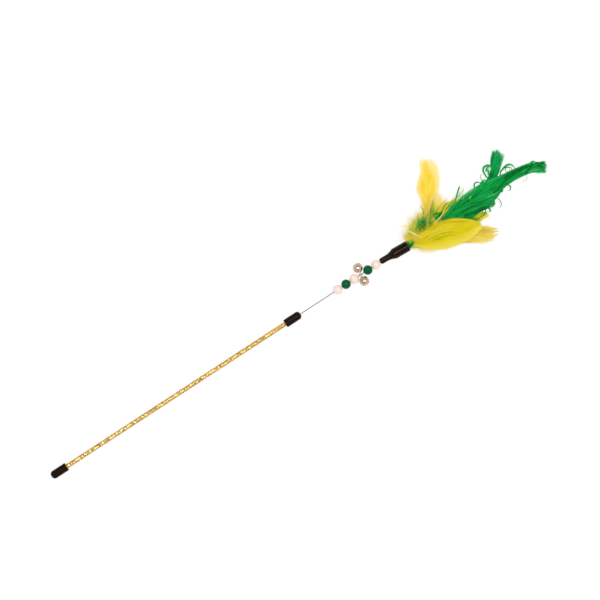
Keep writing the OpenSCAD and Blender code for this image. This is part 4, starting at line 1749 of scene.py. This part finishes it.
def yellow_feathers() -> list[Feather]:
    """Lists the yellow feathers."""
    return [
        Feather(
            "yellow_upright", PALE_YELLOW_DYE, reach=92, width=25, root=(0.74, -0.16),
            path=[(0.31, 0.05, -0.03), (0.495, 0.325, -0.04), (0.64, 0.742, -0.045)],
            left=UPRIGHT_LEFT, right=UPRIGHT_RIGHT, rolls=[(0, 0), (0.5, 4), (1, -8)],
            camber=0.08, first_barb=0.16, barbs=320, sweep=0.44, leave=1.1, lead=1.3, seed=11,
            fringe=170, fringe_reach=0.2,
            wisps=[
                Wisps(70, (30, 13, 1), (6, 4, 1), (45, 30, 1), 7),
                Wisps(50, (42, 18, 1), (5, 4, 1), (56, 29, 0), 5),
            ],
            curls=[
                Curl([(36, 10), (44, 15.4), (51, 20.2), (57, 22.4)], 1.6, 0.3, 0.5, BARBS, 26,
                     1.5),
                Curl([(38, 14), (45, 20), (51, 25.6), (55.4, 29.4)], 1.2, 0.3, 0.5, BARBS, 30,
                     1.7),
                Curl([(30, 12), (38, 19), (45, 26), (50, 31)], 1.0, 0.3, 0.5, BARBS, 22, 1.5),
            ],
        ),
        Feather(
            "yellow_front", DEEP_YELLOW_DYE, reach=78, width=31, root=(-0.2, 0.74),
            path=[(0.28, -0.052, 0.06), (0.63, -0.155, 0.14), (0.96, -0.247, 0.1)],
            left=FRONT_LEFT, right=FRONT_RIGHT, rolls=[(0, 0), (0.6, 0), (1, -8)], camber=0.1,
            first_barb=0.05, barbs=420, sweep=0.52, low_sweep=0.3, leave=1.2, lead=1.35, seed=12,
            quill_lift=-0.4, fringe=120, fringe_reach=0.08,
            wisps=[
                Wisps(50, (12, -8, 3), (8, 3, 1), (22, -20, 2), 3),
                Wisps(40, (6, -2, 3), (3, 3, 1), (12, -9, 2), 3),
            ],
            curls=[
                # Dark strokes of painted shade along the vane's folds.
                Curl([(17, -1.9), (27, -4.6), (36, -6), (43, -8.2), (52, -12.6)], 7.6, 0.15,
                     strip=FOLD_SHADE, copies=4, spread=0.35),
                Curl([(27, -8), (35, -9), (44, -11.2)], 7.2, 0.14, strip=FOLD_SHADE, copies=4),
                Curl([(27, 3), (38.4, 2.8), (49, 0.2), (60, -5.6), (68, -11)], 7.8, 0.14,
                     strip=FOLD_SHADE, copies=5, spread=0.5),
                # Pale strokes of painted highlight along the vane.
                Curl([(19.5, -2.5), (31.8, -2.9), (44.3, -6.4), (53.6, -11.2)], 8.0, 0.06,
                     strip=QUILL_AND_HIGHLIGHT, copies=3, spread=0.5),
                Curl([(18, 1), (30, 0.6), (42, -2.6), (54, -8)], 8.0, 0.05, strip=QUILL_AND_HIGHLIGHT, copies=2,
                     spread=0.8),
                Curl([(60, -21), (66, -18), (71, -14)], 5.4, 0.2, 0.3, QUILL_AND_HIGHLIGHT, 8, 1.4),
            ],
        ),
        Feather(
            "yellow_back", SOFT_YELLOW_DYE, reach=94, width=19, root=(-0.66, 0.2),
            path=[(0.27, -0.07, 0.036), (0.62, -0.21, 0.026), (0.935, -0.355, -0.046)],
            left=BACK_LEFT, right=BACK_RIGHT, tip=Tip.FRAYED, sweep=0.4, leave=1.1, lead=1.3,
            barbs=300, prong=0.075, fringe=200, fringe_reach=0.2, seed=13,
            wisps=[
                Wisps(60, (5, 4, 2), (3, 3, 1), (0, 13, 2), 7, 3.0, 0.09),
                Wisps(50, (66, -19, 2), (3, 2, 0.4), (84, -32, -1), 4, 1.0, 0.13),
            ],
        ),
        Feather(
            "yellow_upper", DEEP_YELLOW_DYE, reach=68, width=15, root=(0.38, -0.06),
            path=[(0.3, 0.05, 0.02), (0.64, 0.135, 0.02), (0.97, 0.225, 0.01)],
            left=LEAF, sweep=0.4, leave=1.1, lead=1.3, seed=14, fringe=60,
            wisps=[Wisps(50, (42, 14, 2), (6, 2, 1), (57, 22, 2), 3)],
            curls=[
                Curl([(40, 10), (47, 15), (53, 18.6), (58, 20)], 5, 0.3, 0.5, BARBS, 22, 1.5),
                Curl([(46, 10.4), (53, 14), (60, 17), (66, 18.8)], 5.4, 0.26, 0.4, BARBS, 16, 0.9),
                Curl([(34.6, 5.8), (38, 7.7), (42.6, 9.4), (46.4, 10.7), (50.6, 12.1), (55, 13.6)],
                     8.6, 0.36, 0.2, QUILL_AND_HIGHLIGHT),
            ],
        ),
        Feather(
            "yellow_lower", DEEP_YELLOW_DYE, reach=89, width=15, root=(-0.23, -0.42),
            path=[(0.28, -0.03, -0.032), (0.67, -0.095, -0.034), (0.99, -0.145, -0.024)],
            left=LEAF, sweep=0.4, leave=1.1, lead=1.3, seed=15, fringe=60,
        ),
        Feather(
            "yellow_tuft", FRESH_YELLOW_DYE, reach=27, width=13, root=(0.54, 0.42),
            path=[(0.46, 0.1, 0.14), (0.56, 0.74, 0.2), (0.11, 0.98, 0.12)],
            left=TUFT, barbs=0, down_count=200, down_to=0.4, down_l=10, seed=16,
            wisps=[
                Wisps(70, (5, 5, 3), (3, 3, 2), (2, 15, 4), 6, 3.0, 0.09),
                Wisps(90, (8, 6, 3), (4, 3, 2), (8, 17, 4), 8, 3.0),
                Wisps(110, (12, 8, 3), (6, 3, 2), (16, 24, 4), 8),
                Wisps(90, (20, 11, 3), (6, 3, 2), (28, 28, 3), 9),
                Wisps(60, (14, 10, 5), (5, 3, 1), (20, 22, 6), 7, 3.0, 0.16),
                Wisps(60, (6, 2, 5), (4, 4, 1), (18, 8, 6.5), 6, half_width=0.15),
                Wisps(70, (2, 4, 4), (2, 2, 1), (8, 11, 6), 4, 2.0, 0.16),
                # Darker greenish strokes of painted shade laid over the front feather, where the
                # green feather shows through.
                Wisps(9, (24, -8, 8), (4, 1, 0.2), (50, -13, 8.4), 2, 1.0, 0.09, FOLD_SHADE),
            ],
            curls=[
                Curl([(14, 15.4), (11, 17.6), (8.2, 20), (4.6, 22.2)], 5, 0.13, 0.8, DOWN, 7, 0.8),
                Curl([(17, 1.6), (13.4, 6.4), (10.7, 10.6), (7.6, 15), (2.6, 19)], 7.9, 0.12, 0.2,
                     QUILL_AND_HIGHLIGHT, 5, 0.6),
                Curl([(20, -1), (15, 3.4), (12, 8), (9.4, 12.6)], 7.9, 0.1, 0.2, CURLS, 5, 0.8),
                Curl([(27, 20.4), (28, 22.6), (30, 24.4)], 5, 0.5, 0.5, DOWN, 6, 0.6),
            ],
        ),
    ]


def green_feathers() -> list[Feather]:
    """Lists the green feathers."""
    return [
        Feather(
            "green_long", GREEN_DYE, reach=163, width=28, root=(0.16, 0.32),
            path=[(0.33, -0.002, 0.02), (0.68, 0.115, 0.04), (1, -0.004, 0.02)],
            left=LONG_LEFT, right=LONG_RIGHT,
            rolls=[(0, 0), (0.6, 0), (0.82, 30), (0.92, 20), (1, -10)],
            tip=Tip.CUT, slant=0.014, barbs=460, sweep=0.38, leave=1.15, lead=1.3, seed=21,
            down_count=0, fringe=110, fringe_reach=0.12,
            wisps=[
                Wisps(36, (64, 14, 4), (7, 1, 1), (77, 22, 4), 4, half_width=0.12),
                Wisps(40, (76, 15, 5), (5, 1, 0.6), (90, 17.4, 5), 2, 2.0, 0.1, QUILL_AND_HIGHLIGHT),
            ],
            curls=[
                Curl([(118, 15), (121, 18.7), (124.7, 20.2), (128.3, 21.3), (131.4, 21.2),
                     (134, 19.4), (135.2, 16.6), (134.6, 13)], 4.5, 1.1),
                Curl([(126, 17.6), (127.5, 19.6), (130.3, 18.7), (131.9, 16.4), (131.3, 13)], 5,
                     0.6),
                Curl([(130.6, 16), (128.7, 14.6), (126.6, 15.4), (125.8, 17.7), (127.2, 19.4)],
                     4.2, 0.4),
                Curl([(97, 13), (94, 15.6), (91.4, 16.2), (89.8, 18.4), (90.6, 20.8), (93, 21.9),
                     (95.5, 21.2), (96.6, 19), (95.6, 17)], 4.5, 0.85),
                Curl([(96.5, 13), (95.6, 15.6), (97, 18.4), (99.8, 19.6), (102.5, 19.4),
                     (102.6, 17), (100, 15.8)], 4.5, 0.95),
                Curl([(99, 15), (98.6, 17.6), (100.4, 18.4), (101.6, 17)], 5, 0.6),
                Curl([(101, 17), (100.2, 22), (100.6, 25), (102.2, 26.2), (104, 25.6)], 3.5, 0.32),
                Curl([(118, 5), (121, 3), (121.8, 0.2), (120, -2.2), (117, -1.4)], 4.2, 0.75),
                Curl([(109.5, 1.5), (111.5, 0.5), (113.5, 1.5), (112.5, 3)], 4, 0.8),
                Curl([(103, -1), (105.5, -5), (105.2, -9.7), (102.9, -12.3), (99.5, -12.7)], 3.5,
                     0.45),
                Curl([(143, 4), (141.5, 0), (139, -1.8), (136, -1.4), (133.8, 1)], 4, 0.22),
                Curl([(64, 14), (67.5, 18), (72, 22.6), (75.3, 25.6), (76.6, 26.6), (76.4, 25)],
                     4.2, 0.8),
                Curl([(72, 15), (76, 19), (78.6, 22.5), (79.6, 25)], 4, 0.3, strip=DOWN),
                # The curls below in the fold shade strip are dark strokes of painted shade along
                # folds and under curls; those in the quill strip are pale strokes of painted
                # highlight.
                Curl([(103, 3.4), (110, 4.6), (118, 7.4), (126, 8.6), (137, 9.3), (148, 8.9),
                     (154, 8.6)], 6.6, 0.22, strip=FOLD_SHADE, copies=5, spread=0.45),
                Curl([(122, 12.4), (131, 13), (140, 11.2), (149, 10.6)], 6, 0.2, strip=FOLD_SHADE,
                     copies=4),
                Curl([(142, 4), (147, 5.8), (151, 8), (155, 11.4)], 6.8, 0.25, strip=FOLD_SHADE,
                     copies=5, spread=0.4),
                Curl([(156, 9.4), (160, 6.6), (164.6, 4.4)], 6.6, 0.25, strip=FOLD_SHADE, copies=6,
                     spread=0.6),
                Curl([(121, 10.6), (128, 11.4), (136, 11), (148, 9.8)], 6.8, 0.22, strip=FOLD_SHADE,
                     copies=5, spread=0.6),
                Curl([(76.8, 8.2), (77.8, 10.2), (79.4, 11.6)], 6.8, 0.35, strip=FOLD_SHADE, copies=3,
                     spread=0.25),
                Curl([(78.4, 10), (80.4, 11.4), (83, 12)], 7.4, 0.26, 0.2, DOWN, 2, 0.3),
                Curl([(66, -1.4), (77, -3.8), (85, -4.4), (93, -6.2)], 5.4, 0.26, strip=FOLD_SHADE,
                     copies=8, spread=0.8),
                Curl([(149, 10), (151.6, 11), (154.6, 11), (156.6, 8.8)], 7, 0.5, 0.3, BARBS, 7,
                     0.5),
                Curl([(150, 10.6), (152.4, 11.9), (155.2, 10.8)], 7.4, 0.22, 0.2, QUILL_AND_HIGHLIGHT, 3, 0.3),
                Curl([(156, 6), (160.6, 6.2), (165.4, 6)], 6.4, 0.2, 0.3, QUILL_AND_HIGHLIGHT, 6, 0.6),
                Curl([(152, -1), (156.6, -3), (160.8, -5.4)], 6.4, 0.18, 0.3, QUILL_AND_HIGHLIGHT, 6, 0.5),
                Curl([(155, 7.4), (158, 3), (161, -1.4)], 6.6, 0.22, 0.2, FOLD_SHADE, 6, 0.7),
                Curl([(145, 4), (152, 2), (159, -1.4)], 6.6, 0.16, 0.2, QUILL_AND_HIGHLIGHT, 5, 0.5),
                Curl([(138, 7.4), (141.4, 7.9), (145, 8.6)], 7.4, 0.22, 0.2, QUILL_AND_HIGHLIGHT, 2, 0.2),
                Curl([(94, 2.8), (99, 2.4), (104, 1.8), (108.6, 1.6)], 7, 0.16, 0.2, QUILL_AND_HIGHLIGHT, 5,
                     0.7),
                Curl([(104, 16), (110, 15.8), (116, 15.4), (122, 13.4)], 6.6, 0.14, 0.2, QUILL_AND_HIGHLIGHT, 3,
                     0.8),
                Curl([(73, 14.6), (78, 17), (84, 17.6), (92, 15.8)], 5.6, 0.2, 0.2, QUILL_AND_HIGHLIGHT, 7, 0.7),
                Curl([(54, 12.6), (58.3, 14.2), (62, 16), (65.6, 18.4)], 7.6, 0.3, 0.2, QUILL_AND_HIGHLIGHT),
                Curl([(60, 8), (72, 9.6), (86, 10.6), (97, 12)], 6.2, 0.16, strip=FOLD_SHADE, copies=4,
                     spread=0.7),
                Curl([(58, 2.4), (72, 2.8), (88, 1.4), (100, 1.4)], 6, 0.16, strip=FOLD_SHADE, copies=5,
                     spread=0.8),
            ],
        ),
        Feather(
            "green_upturned", BRIGHT_GREEN_DYE, reach=133, width=14, root=(-0.1, -0.74),
            path=[(0.41, 0.02, -0.032), (0.82, 0.016, -0.03), (0.975, 0.283, -0.02)],
            left=UPTURNED_LEFT, right=UPTURNED_RIGHT, rolls=[(0, 0), (0.7, 0), (1, 10)],
            tip=Tip.CUT, slant=0.03, down_count=0, barbs=320, sweep=0.26, leave=1.1, lead=1.25,
            seed=22, fringe=140, fringe_reach=0.16,
            curls=[
                Curl([(107.5, 16), (105.9, 23.8), (106.7, 29.6), (109.7, 31.7), (112.7, 31.3),
                     (115.1, 29), (115, 26.2), (113.3, 24.9), (111, 25)], 1.6, 1.15),
                Curl([(109.5, 16), (109.2, 21.8), (110.3, 25), (112.6, 26.6)], 1.4, 1.1),
                Curl([(111, 25), (109.6, 27.1), (110.3, 28.9), (112.4, 29.4), (113.8, 27.6)], 2,
                     0.75),
                Curl([(112.6, 23.6), (110.6, 26.4), (111.6, 27.8), (113, 26.6)], 1.8, 0.6),
                Curl([(112, 15), (119.4, 21.4), (126, 27.6), (132.4, 32.6)], 0.6, 0.3, 0.5, BARBS,
                     22, 1.1),
                Curl([(113, 20), (119.6, 28.4), (124.6, 34), (129.4, 38)], 0.9, 0.3, 0.5, BARBS,
                     26, 1.5),
                # Strokes of painted highlight inside the loop, and dark strokes of painted shade
                # under the loop and along the upswept barbs.
                Curl([(108.4, 25.6), (109.6, 28.6), (112.4, 30.4), (115, 28.8)], 1.5, 0.16, 0.3,
                     QUILL_AND_HIGHLIGHT, 9, 1.0),
                Curl([(109, 18.6), (110, 21), (113.6, 22.4)], 1.7, 0.4, 0.4, FOLD_SHADE, 10, 1.0),
                Curl([(125.2, 39.6), (122.5, 35.1), (117.8, 27), (114.3, 20)], 0.9, 0.16, 0.2,
                     FOLD_SHADE, 4),
                Curl([(129.7, 33.4), (123.7, 27.2), (119.5, 22.4)], 0.9, 0.16, 0.2, FOLD_SHADE, 3),
            ],
        ),
        Feather(
            "green_lower", GREEN_DYE, reach=99, width=13, root=(-0.6, -0.3),
            path=[(0.3, -0.02, 0.002), (0.66, -0.035, 0.004), (0.99, -0.055, 0.01)],
            left=SPEAR, right=SLIM, sweep=0.36, leave=1.1, lead=1.3, seed=23, down_count=0,
            curls=[
                Curl([(98, -2), (100, -4.6), (97.6, -7.2), (93.5, -7.4), (89, -6)], 3, 1.0),
                Curl([(89, -5), (92, -8.2), (91.8, -10.6), (89.4, -11.4)], 3, 1.0),
                Curl([(89, -4.5), (87.6, -8.5), (84, -10.8), (78.4, -11.2), (72, -10.4)], 2.4,
                     0.6),
                Curl([(86, -5), (84, -8), (80, -9.4)], 2.4, 0.5),
                # Dark strokes of painted shade along the folded lower edge and under the loops.
                Curl([(76, -4), (83, -5), (90, -6), (97, -6)], 2.8, 0.36, 0.5, FOLD_SHADE, 10, 1.1),
                Curl([(66, -6), (72, -9.6), (79, -13)], 3, 0.4, 0.4, BARBS, 6, 0.7),
                Curl([(98, -3), (99.4, -5.4), (96.4, -7)], 3, 0.4, 0.4, FOLD_SHADE, 6, 0.5),
            ],
        ),
        Feather(
            "green_tuft", GREEN_DYE, reach=27, width=11, root=(0.42, -0.56),
            path=[(0.34, 0.14, -0.11), (0.6, 0.36, -0.13), (0.84, 0.54, -0.12)],
            left=TUFT, barbs=40, down_count=80, down_to=0.4, down_l=9, seed=24,
            # Dark wisps and curls in the fold shade strip paint shade in the tuft's base and
            # between its strands.
            wisps=[
                Wisps(30, (18, 8, 4), (5, 3, 1), (31, 17, 6), 5, 2.0, 0.14, CURLS),
                Wisps(110, (0.5, 0.4, 4.4), (0.3, 4.4, 0.6), (3.4, 0.5, 7.8), 1.6, 0.5, 0.2,
                     FOLD_SHADE),
                Wisps(70, (2, 0.4, 6.6), (1, 3.6, 0.6), (7, 0.6, 8), 2.4, 1.0, 0.16, CURLS),
                Wisps(30, (2, 2, 7.4), (1, 2, 0.4), (8.4, 3, 8), 2, 1.0, 0.12, DOWN),
                Wisps(8, (3, -4.6, 5), (2, 0.6, 0.6), (12, -9.4, 5), 2, 1.0, 0.08, DOWN),
                Wisps(10, (34, 14, 4), (4, 2, 1), (46, 29, 4), 5, 3.0, 0.16, CURLS),
                Wisps(90, (13, 9, 4.6), (7, 3, 1), (27, 22, 5.6), 9, 3.0, 0.12),
                Wisps(26, (14, 9, 5), (6, 3, 1), (28, 19, 6), 8, 3.0, 0.1, FOLD_SHADE),
                Wisps(40, (34, 12, 4), (5, 3, 1), (44, 20, 5), 6, 3.0),
            ],
            curls=[
                Curl([(46, 9), (44.6, 11.6), (44, 13.9), (41.9, 14.9), (39.4, 14.4), (38.7, 12.8),
                     (40.2, 11.4)], 7, 0.9),
                Curl([(43, 9.6), (46, 11.8), (49.3, 14.8), (53.7, 17.5), (57.2, 18.7),
                     (58.9, 17.8)], 6.4, 0.6),
                Curl([(48, 10.4), (52, 13), (56.6, 15), (61.4, 16.6), (65, 17.6)], 6.2, 0.5),
                Curl([(20.6, 11), (21.8, 13), (24, 14.6), (26.6, 15.7), (29.4, 16.6)], 7.6, 0.34,
                     copies=10, spread=0.7),
                Curl([(20, 12.4), (22, 14.6), (25, 16)], 7.2, 0.26, strip=FOLD_SHADE, copies=5,
                     spread=0.5),
                Curl([(38.4, 11), (41, 12.2), (43, 14.2)], 7, 0.4, copies=8, spread=0.9),
                Curl([(40, 8.8), (42.6, 10), (45.4, 11.6), (47, 13.4)], 7, 0.34, strip=FOLD_SHADE,
                     copies=8, spread=0.8),
                Curl([(24, 8), (26, 10.2), (27.6, 12.6), (29.4, 15)], 7, 0.18, strip=FOLD_SHADE,
                     copies=5, spread=0.8),
                Curl([(25, 8), (27, 10.4), (29, 12.8), (31.6, 15)], 7.4, 0.2, copies=6,
                     spread=1.1),
                Curl([(29, 7), (31.5, 8.2), (33.8, 9.4), (36.4, 10.4)], 7.4, 0.26, copies=4,
                     spread=0.7),
                Curl([(29.6, 9.6), (31.4, 10.8), (32.8, 12.2), (34.4, 14.4)], 7.2, 0.3, copies=3),
                Curl([(39.5, 14), (42.6, 19.9), (44.8, 24.7), (45.6, 27.6), (46.6, 30)], 6, 0.6,
                     strip=DOWN),
                Curl([(39.2, 14), (42.4, 20), (44.4, 24.8)], 5.8, 0.3),
                Curl([(31, 21), (32.2, 26), (31.8, 28.6), (33.8, 31)], 5, 0.4),
            ],
        ),
    ]


@dataclass
class Studio:
    """A plain pale floor, soft light from above and a camera straight over the wand."""

    wand_turn_deg: float = 33.13
    frame_w: float = 618.0
    aim: Point2 = (302.4, 12.3)
    lens: float = 120.0
    floor_drop: float = 0.05
    floor_clear: float = 0.78
    room: float = 4.0
    # Strengths of the white room: what lights the wand, its walls and ceiling as mirrors show
    # them, and what the camera sees, where 1 is white.
    ground: float = 0.55
    walls: float = 0.8
    ceiling: float = 0.32
    backdrop: float = 1.0
    # Height share of a direction where the walls start to darken, and where the ceiling is full.
    fade: Point2 = (0.15, 0.75)
    # Name, place in metres from the middle of the picture, side in metres, and watts.
    lamps: Sequence[tuple[str, Point3, float, float]] = (
        ("key", (0.14, 0.04, 1.75), 0.3, 13.0),
        ("handle", (-0.55, 0.0, 1.75), 0.3, 4.0),
        ("glint", (0.215, -0.022, 1.75), 0.06, 1.0),
        ("fill", (0.9, -0.7, 1.5), 1.2, 4.0),
    )

    def camera(self) -> None:
        """Puts the camera where the photograph was taken from."""
        lens = bpy.data.cameras.new("camera")
        lens.lens = self.lens
        lens.clip_end = 50.0
        camera = new_object("camera", lens)
        height = self.frame_w * MM * lens.lens / lens.sensor_width
        camera.location = (self.aim[0] * MM, self.aim[1] * MM, height)
        camera.rotation_euler = (0, 0, -math.radians(self.wand_turn_deg))
        bpy.context.scene.camera = camera

    @staticmethod
    def in_view(tree: Tree) -> Socket:
        """Gives 1 for what the camera sees straight, in a mirror or through glass."""
        path = add_node(tree, "ShaderNodeLightPath")
        seen = maths(
            tree, "MAXIMUM", path.outputs["Is Camera Ray"], path.outputs["Is Glossy Ray"]
        )
        return maths(tree, "MAXIMUM", seen, path.outputs["Is Transmission Ray"])

    @staticmethod
    def blend(tree: Tree, share: Socket, first: Socket, second: Socket, output: str) -> None:
        """Mixes two shaders into the tree's output.

        Args:
            tree: The node tree.
            share: How much of the second shows.
            first: The first shader.
            second: The second shader.
            output: Name of the output node.
        """
        mixed = add_node(tree, "ShaderNodeMixShader", {0: share, 1: first, 2: second})
        tree.links.new(mixed.outputs["Shader"], tree.nodes[output].inputs["Surface"])

    def floor(self, lowest: float) -> None:
        """Lays a white floor just under the wand, which keeps its shadow.

        The floor shows the white room below it in part and lets the lamps through, so that a
        lure that is bent down past it is still seen and lit.

        Args:
            lowest: Height of the wand's lowest point, in metres.
        """
        white = bpy.data.materials.new("white_sweep")
        white.use_nodes = True
        tree = white.node_tree
        surface = tree.nodes["Principled BSDF"]
        set_inputs(surface, Base_Color=linear("#FFFFFF"), Roughness=1.0)
        clear = add_node(tree, "ShaderNodeBsdfTransparent")
        share = maths(tree, "MULTIPLY", self.in_view(tree), self.floor_clear)
        path = add_node(tree, "ShaderNodeLightPath")
        whole = maths(tree, "MAXIMUM", share, path.outputs["Is Shadow Ray"])
        self.blend(tree, whole, surface.outputs["BSDF"], clear.outputs["BSDF"], "Material Output")
        bm = bmesh.new()
        bmesh.ops.create_grid(bm, x_segments=1, y_segments=1, size=self.room)
        mesh = mesh_from(bm)
        mesh.materials.append(white)
        sweep = new_object("sweep", mesh)
        sweep.location.z = lowest - self.floor_drop * MM
        sweep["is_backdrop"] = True

    def world(self) -> None:
        """Makes an even pale room that shows white."""
        room = bpy.data.worlds.new("room")
        bpy.context.scene.world = room
        room.use_nodes = True
        tree = room.node_tree
        ground = tree.nodes["Background"]
        set_inputs(ground, Color=linear("#FFFFFF"), Strength=self.ground)
        direction = add_node(tree, "ShaderNodeTexCoord")
        split = add_node(
            tree, "ShaderNodeSeparateXYZ", {"Vector": direction.outputs["Generated"]}
        )
        mirrored = between(tree, split.outputs["Z"], self.walls, self.ceiling, *self.fade)
        path = add_node(tree, "ShaderNodeLightPath")
        level = add_node(
            tree,
            "ShaderNodeMix",
            {0: path.outputs["Is Camera Ray"], 2: mirrored},
            data_type="FLOAT",
        )
        level.inputs[3].default_value = self.backdrop
        shown = add_node(
            tree,
            "ShaderNodeBackground",
            {"Strength": level.outputs[0]},
            Color=linear("#FFFFFF"),
        )
        lit, seen = ground.outputs["Background"], shown.outputs["Background"]
        self.blend(tree, self.in_view(tree), lit, seen, "World Output")

    def lamp(self, name: str, place: Point3, size: float, watts: float) -> None:
        """Hangs a square softbox that faces the wand.

        Args:
            name: The lamp's name.
            place: Where it hangs, in metres from the middle of the picture.
            size: Its side in metres.
            watts: Its power.
        """
        light = bpy.data.lights.new(name, "AREA")
        light.shape, light.size, light.energy = "SQUARE", size, watts
        lamp = new_object(name, light)
        middle = Vector((self.aim[0] * MM, self.aim[1] * MM, 0))
        lamp.location = middle + Vector(place)
        lamp.rotation_euler = (middle - lamp.location).to_track_quat("-Z", "Y").to_euler()

    def build(self, lowest: float) -> None:
        """Makes the whole stage.

        Args:
            lowest: Height of the wand's lowest point, in metres.
        """
        bpy.context.scene.view_settings.view_transform = "Standard"
        self.camera()
        self.world()
        self.floor(lowest)
        for lamp in self.lamps:
            self.lamp(*lamp)


def corners(box: tuple[Vector, Vector]) -> list[list[float]]:
    """Turns a box's two corners to plain lists of numbers."""
    return [[round(float(c), 6) for c in corner] for corner in box]


def main() -> None:
    """Builds the wand and its stage."""
    logging.basicConfig(level=logging.INFO, format="%(name)s: %(message)s")
    cad_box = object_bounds()
    Handle().build()
    SpringWire().build()
    BeadString().build()
    JingleBell("a", 1).build()
    JingleBell("b", -1).build()
    FeatherSocket().build()
    for feather in [*yellow_feathers(), *green_feathers()]:
        feather.build()
    Studio().build(min(cad_box[0].z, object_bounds()[0].z))


if __name__ == "__main__":
    main()
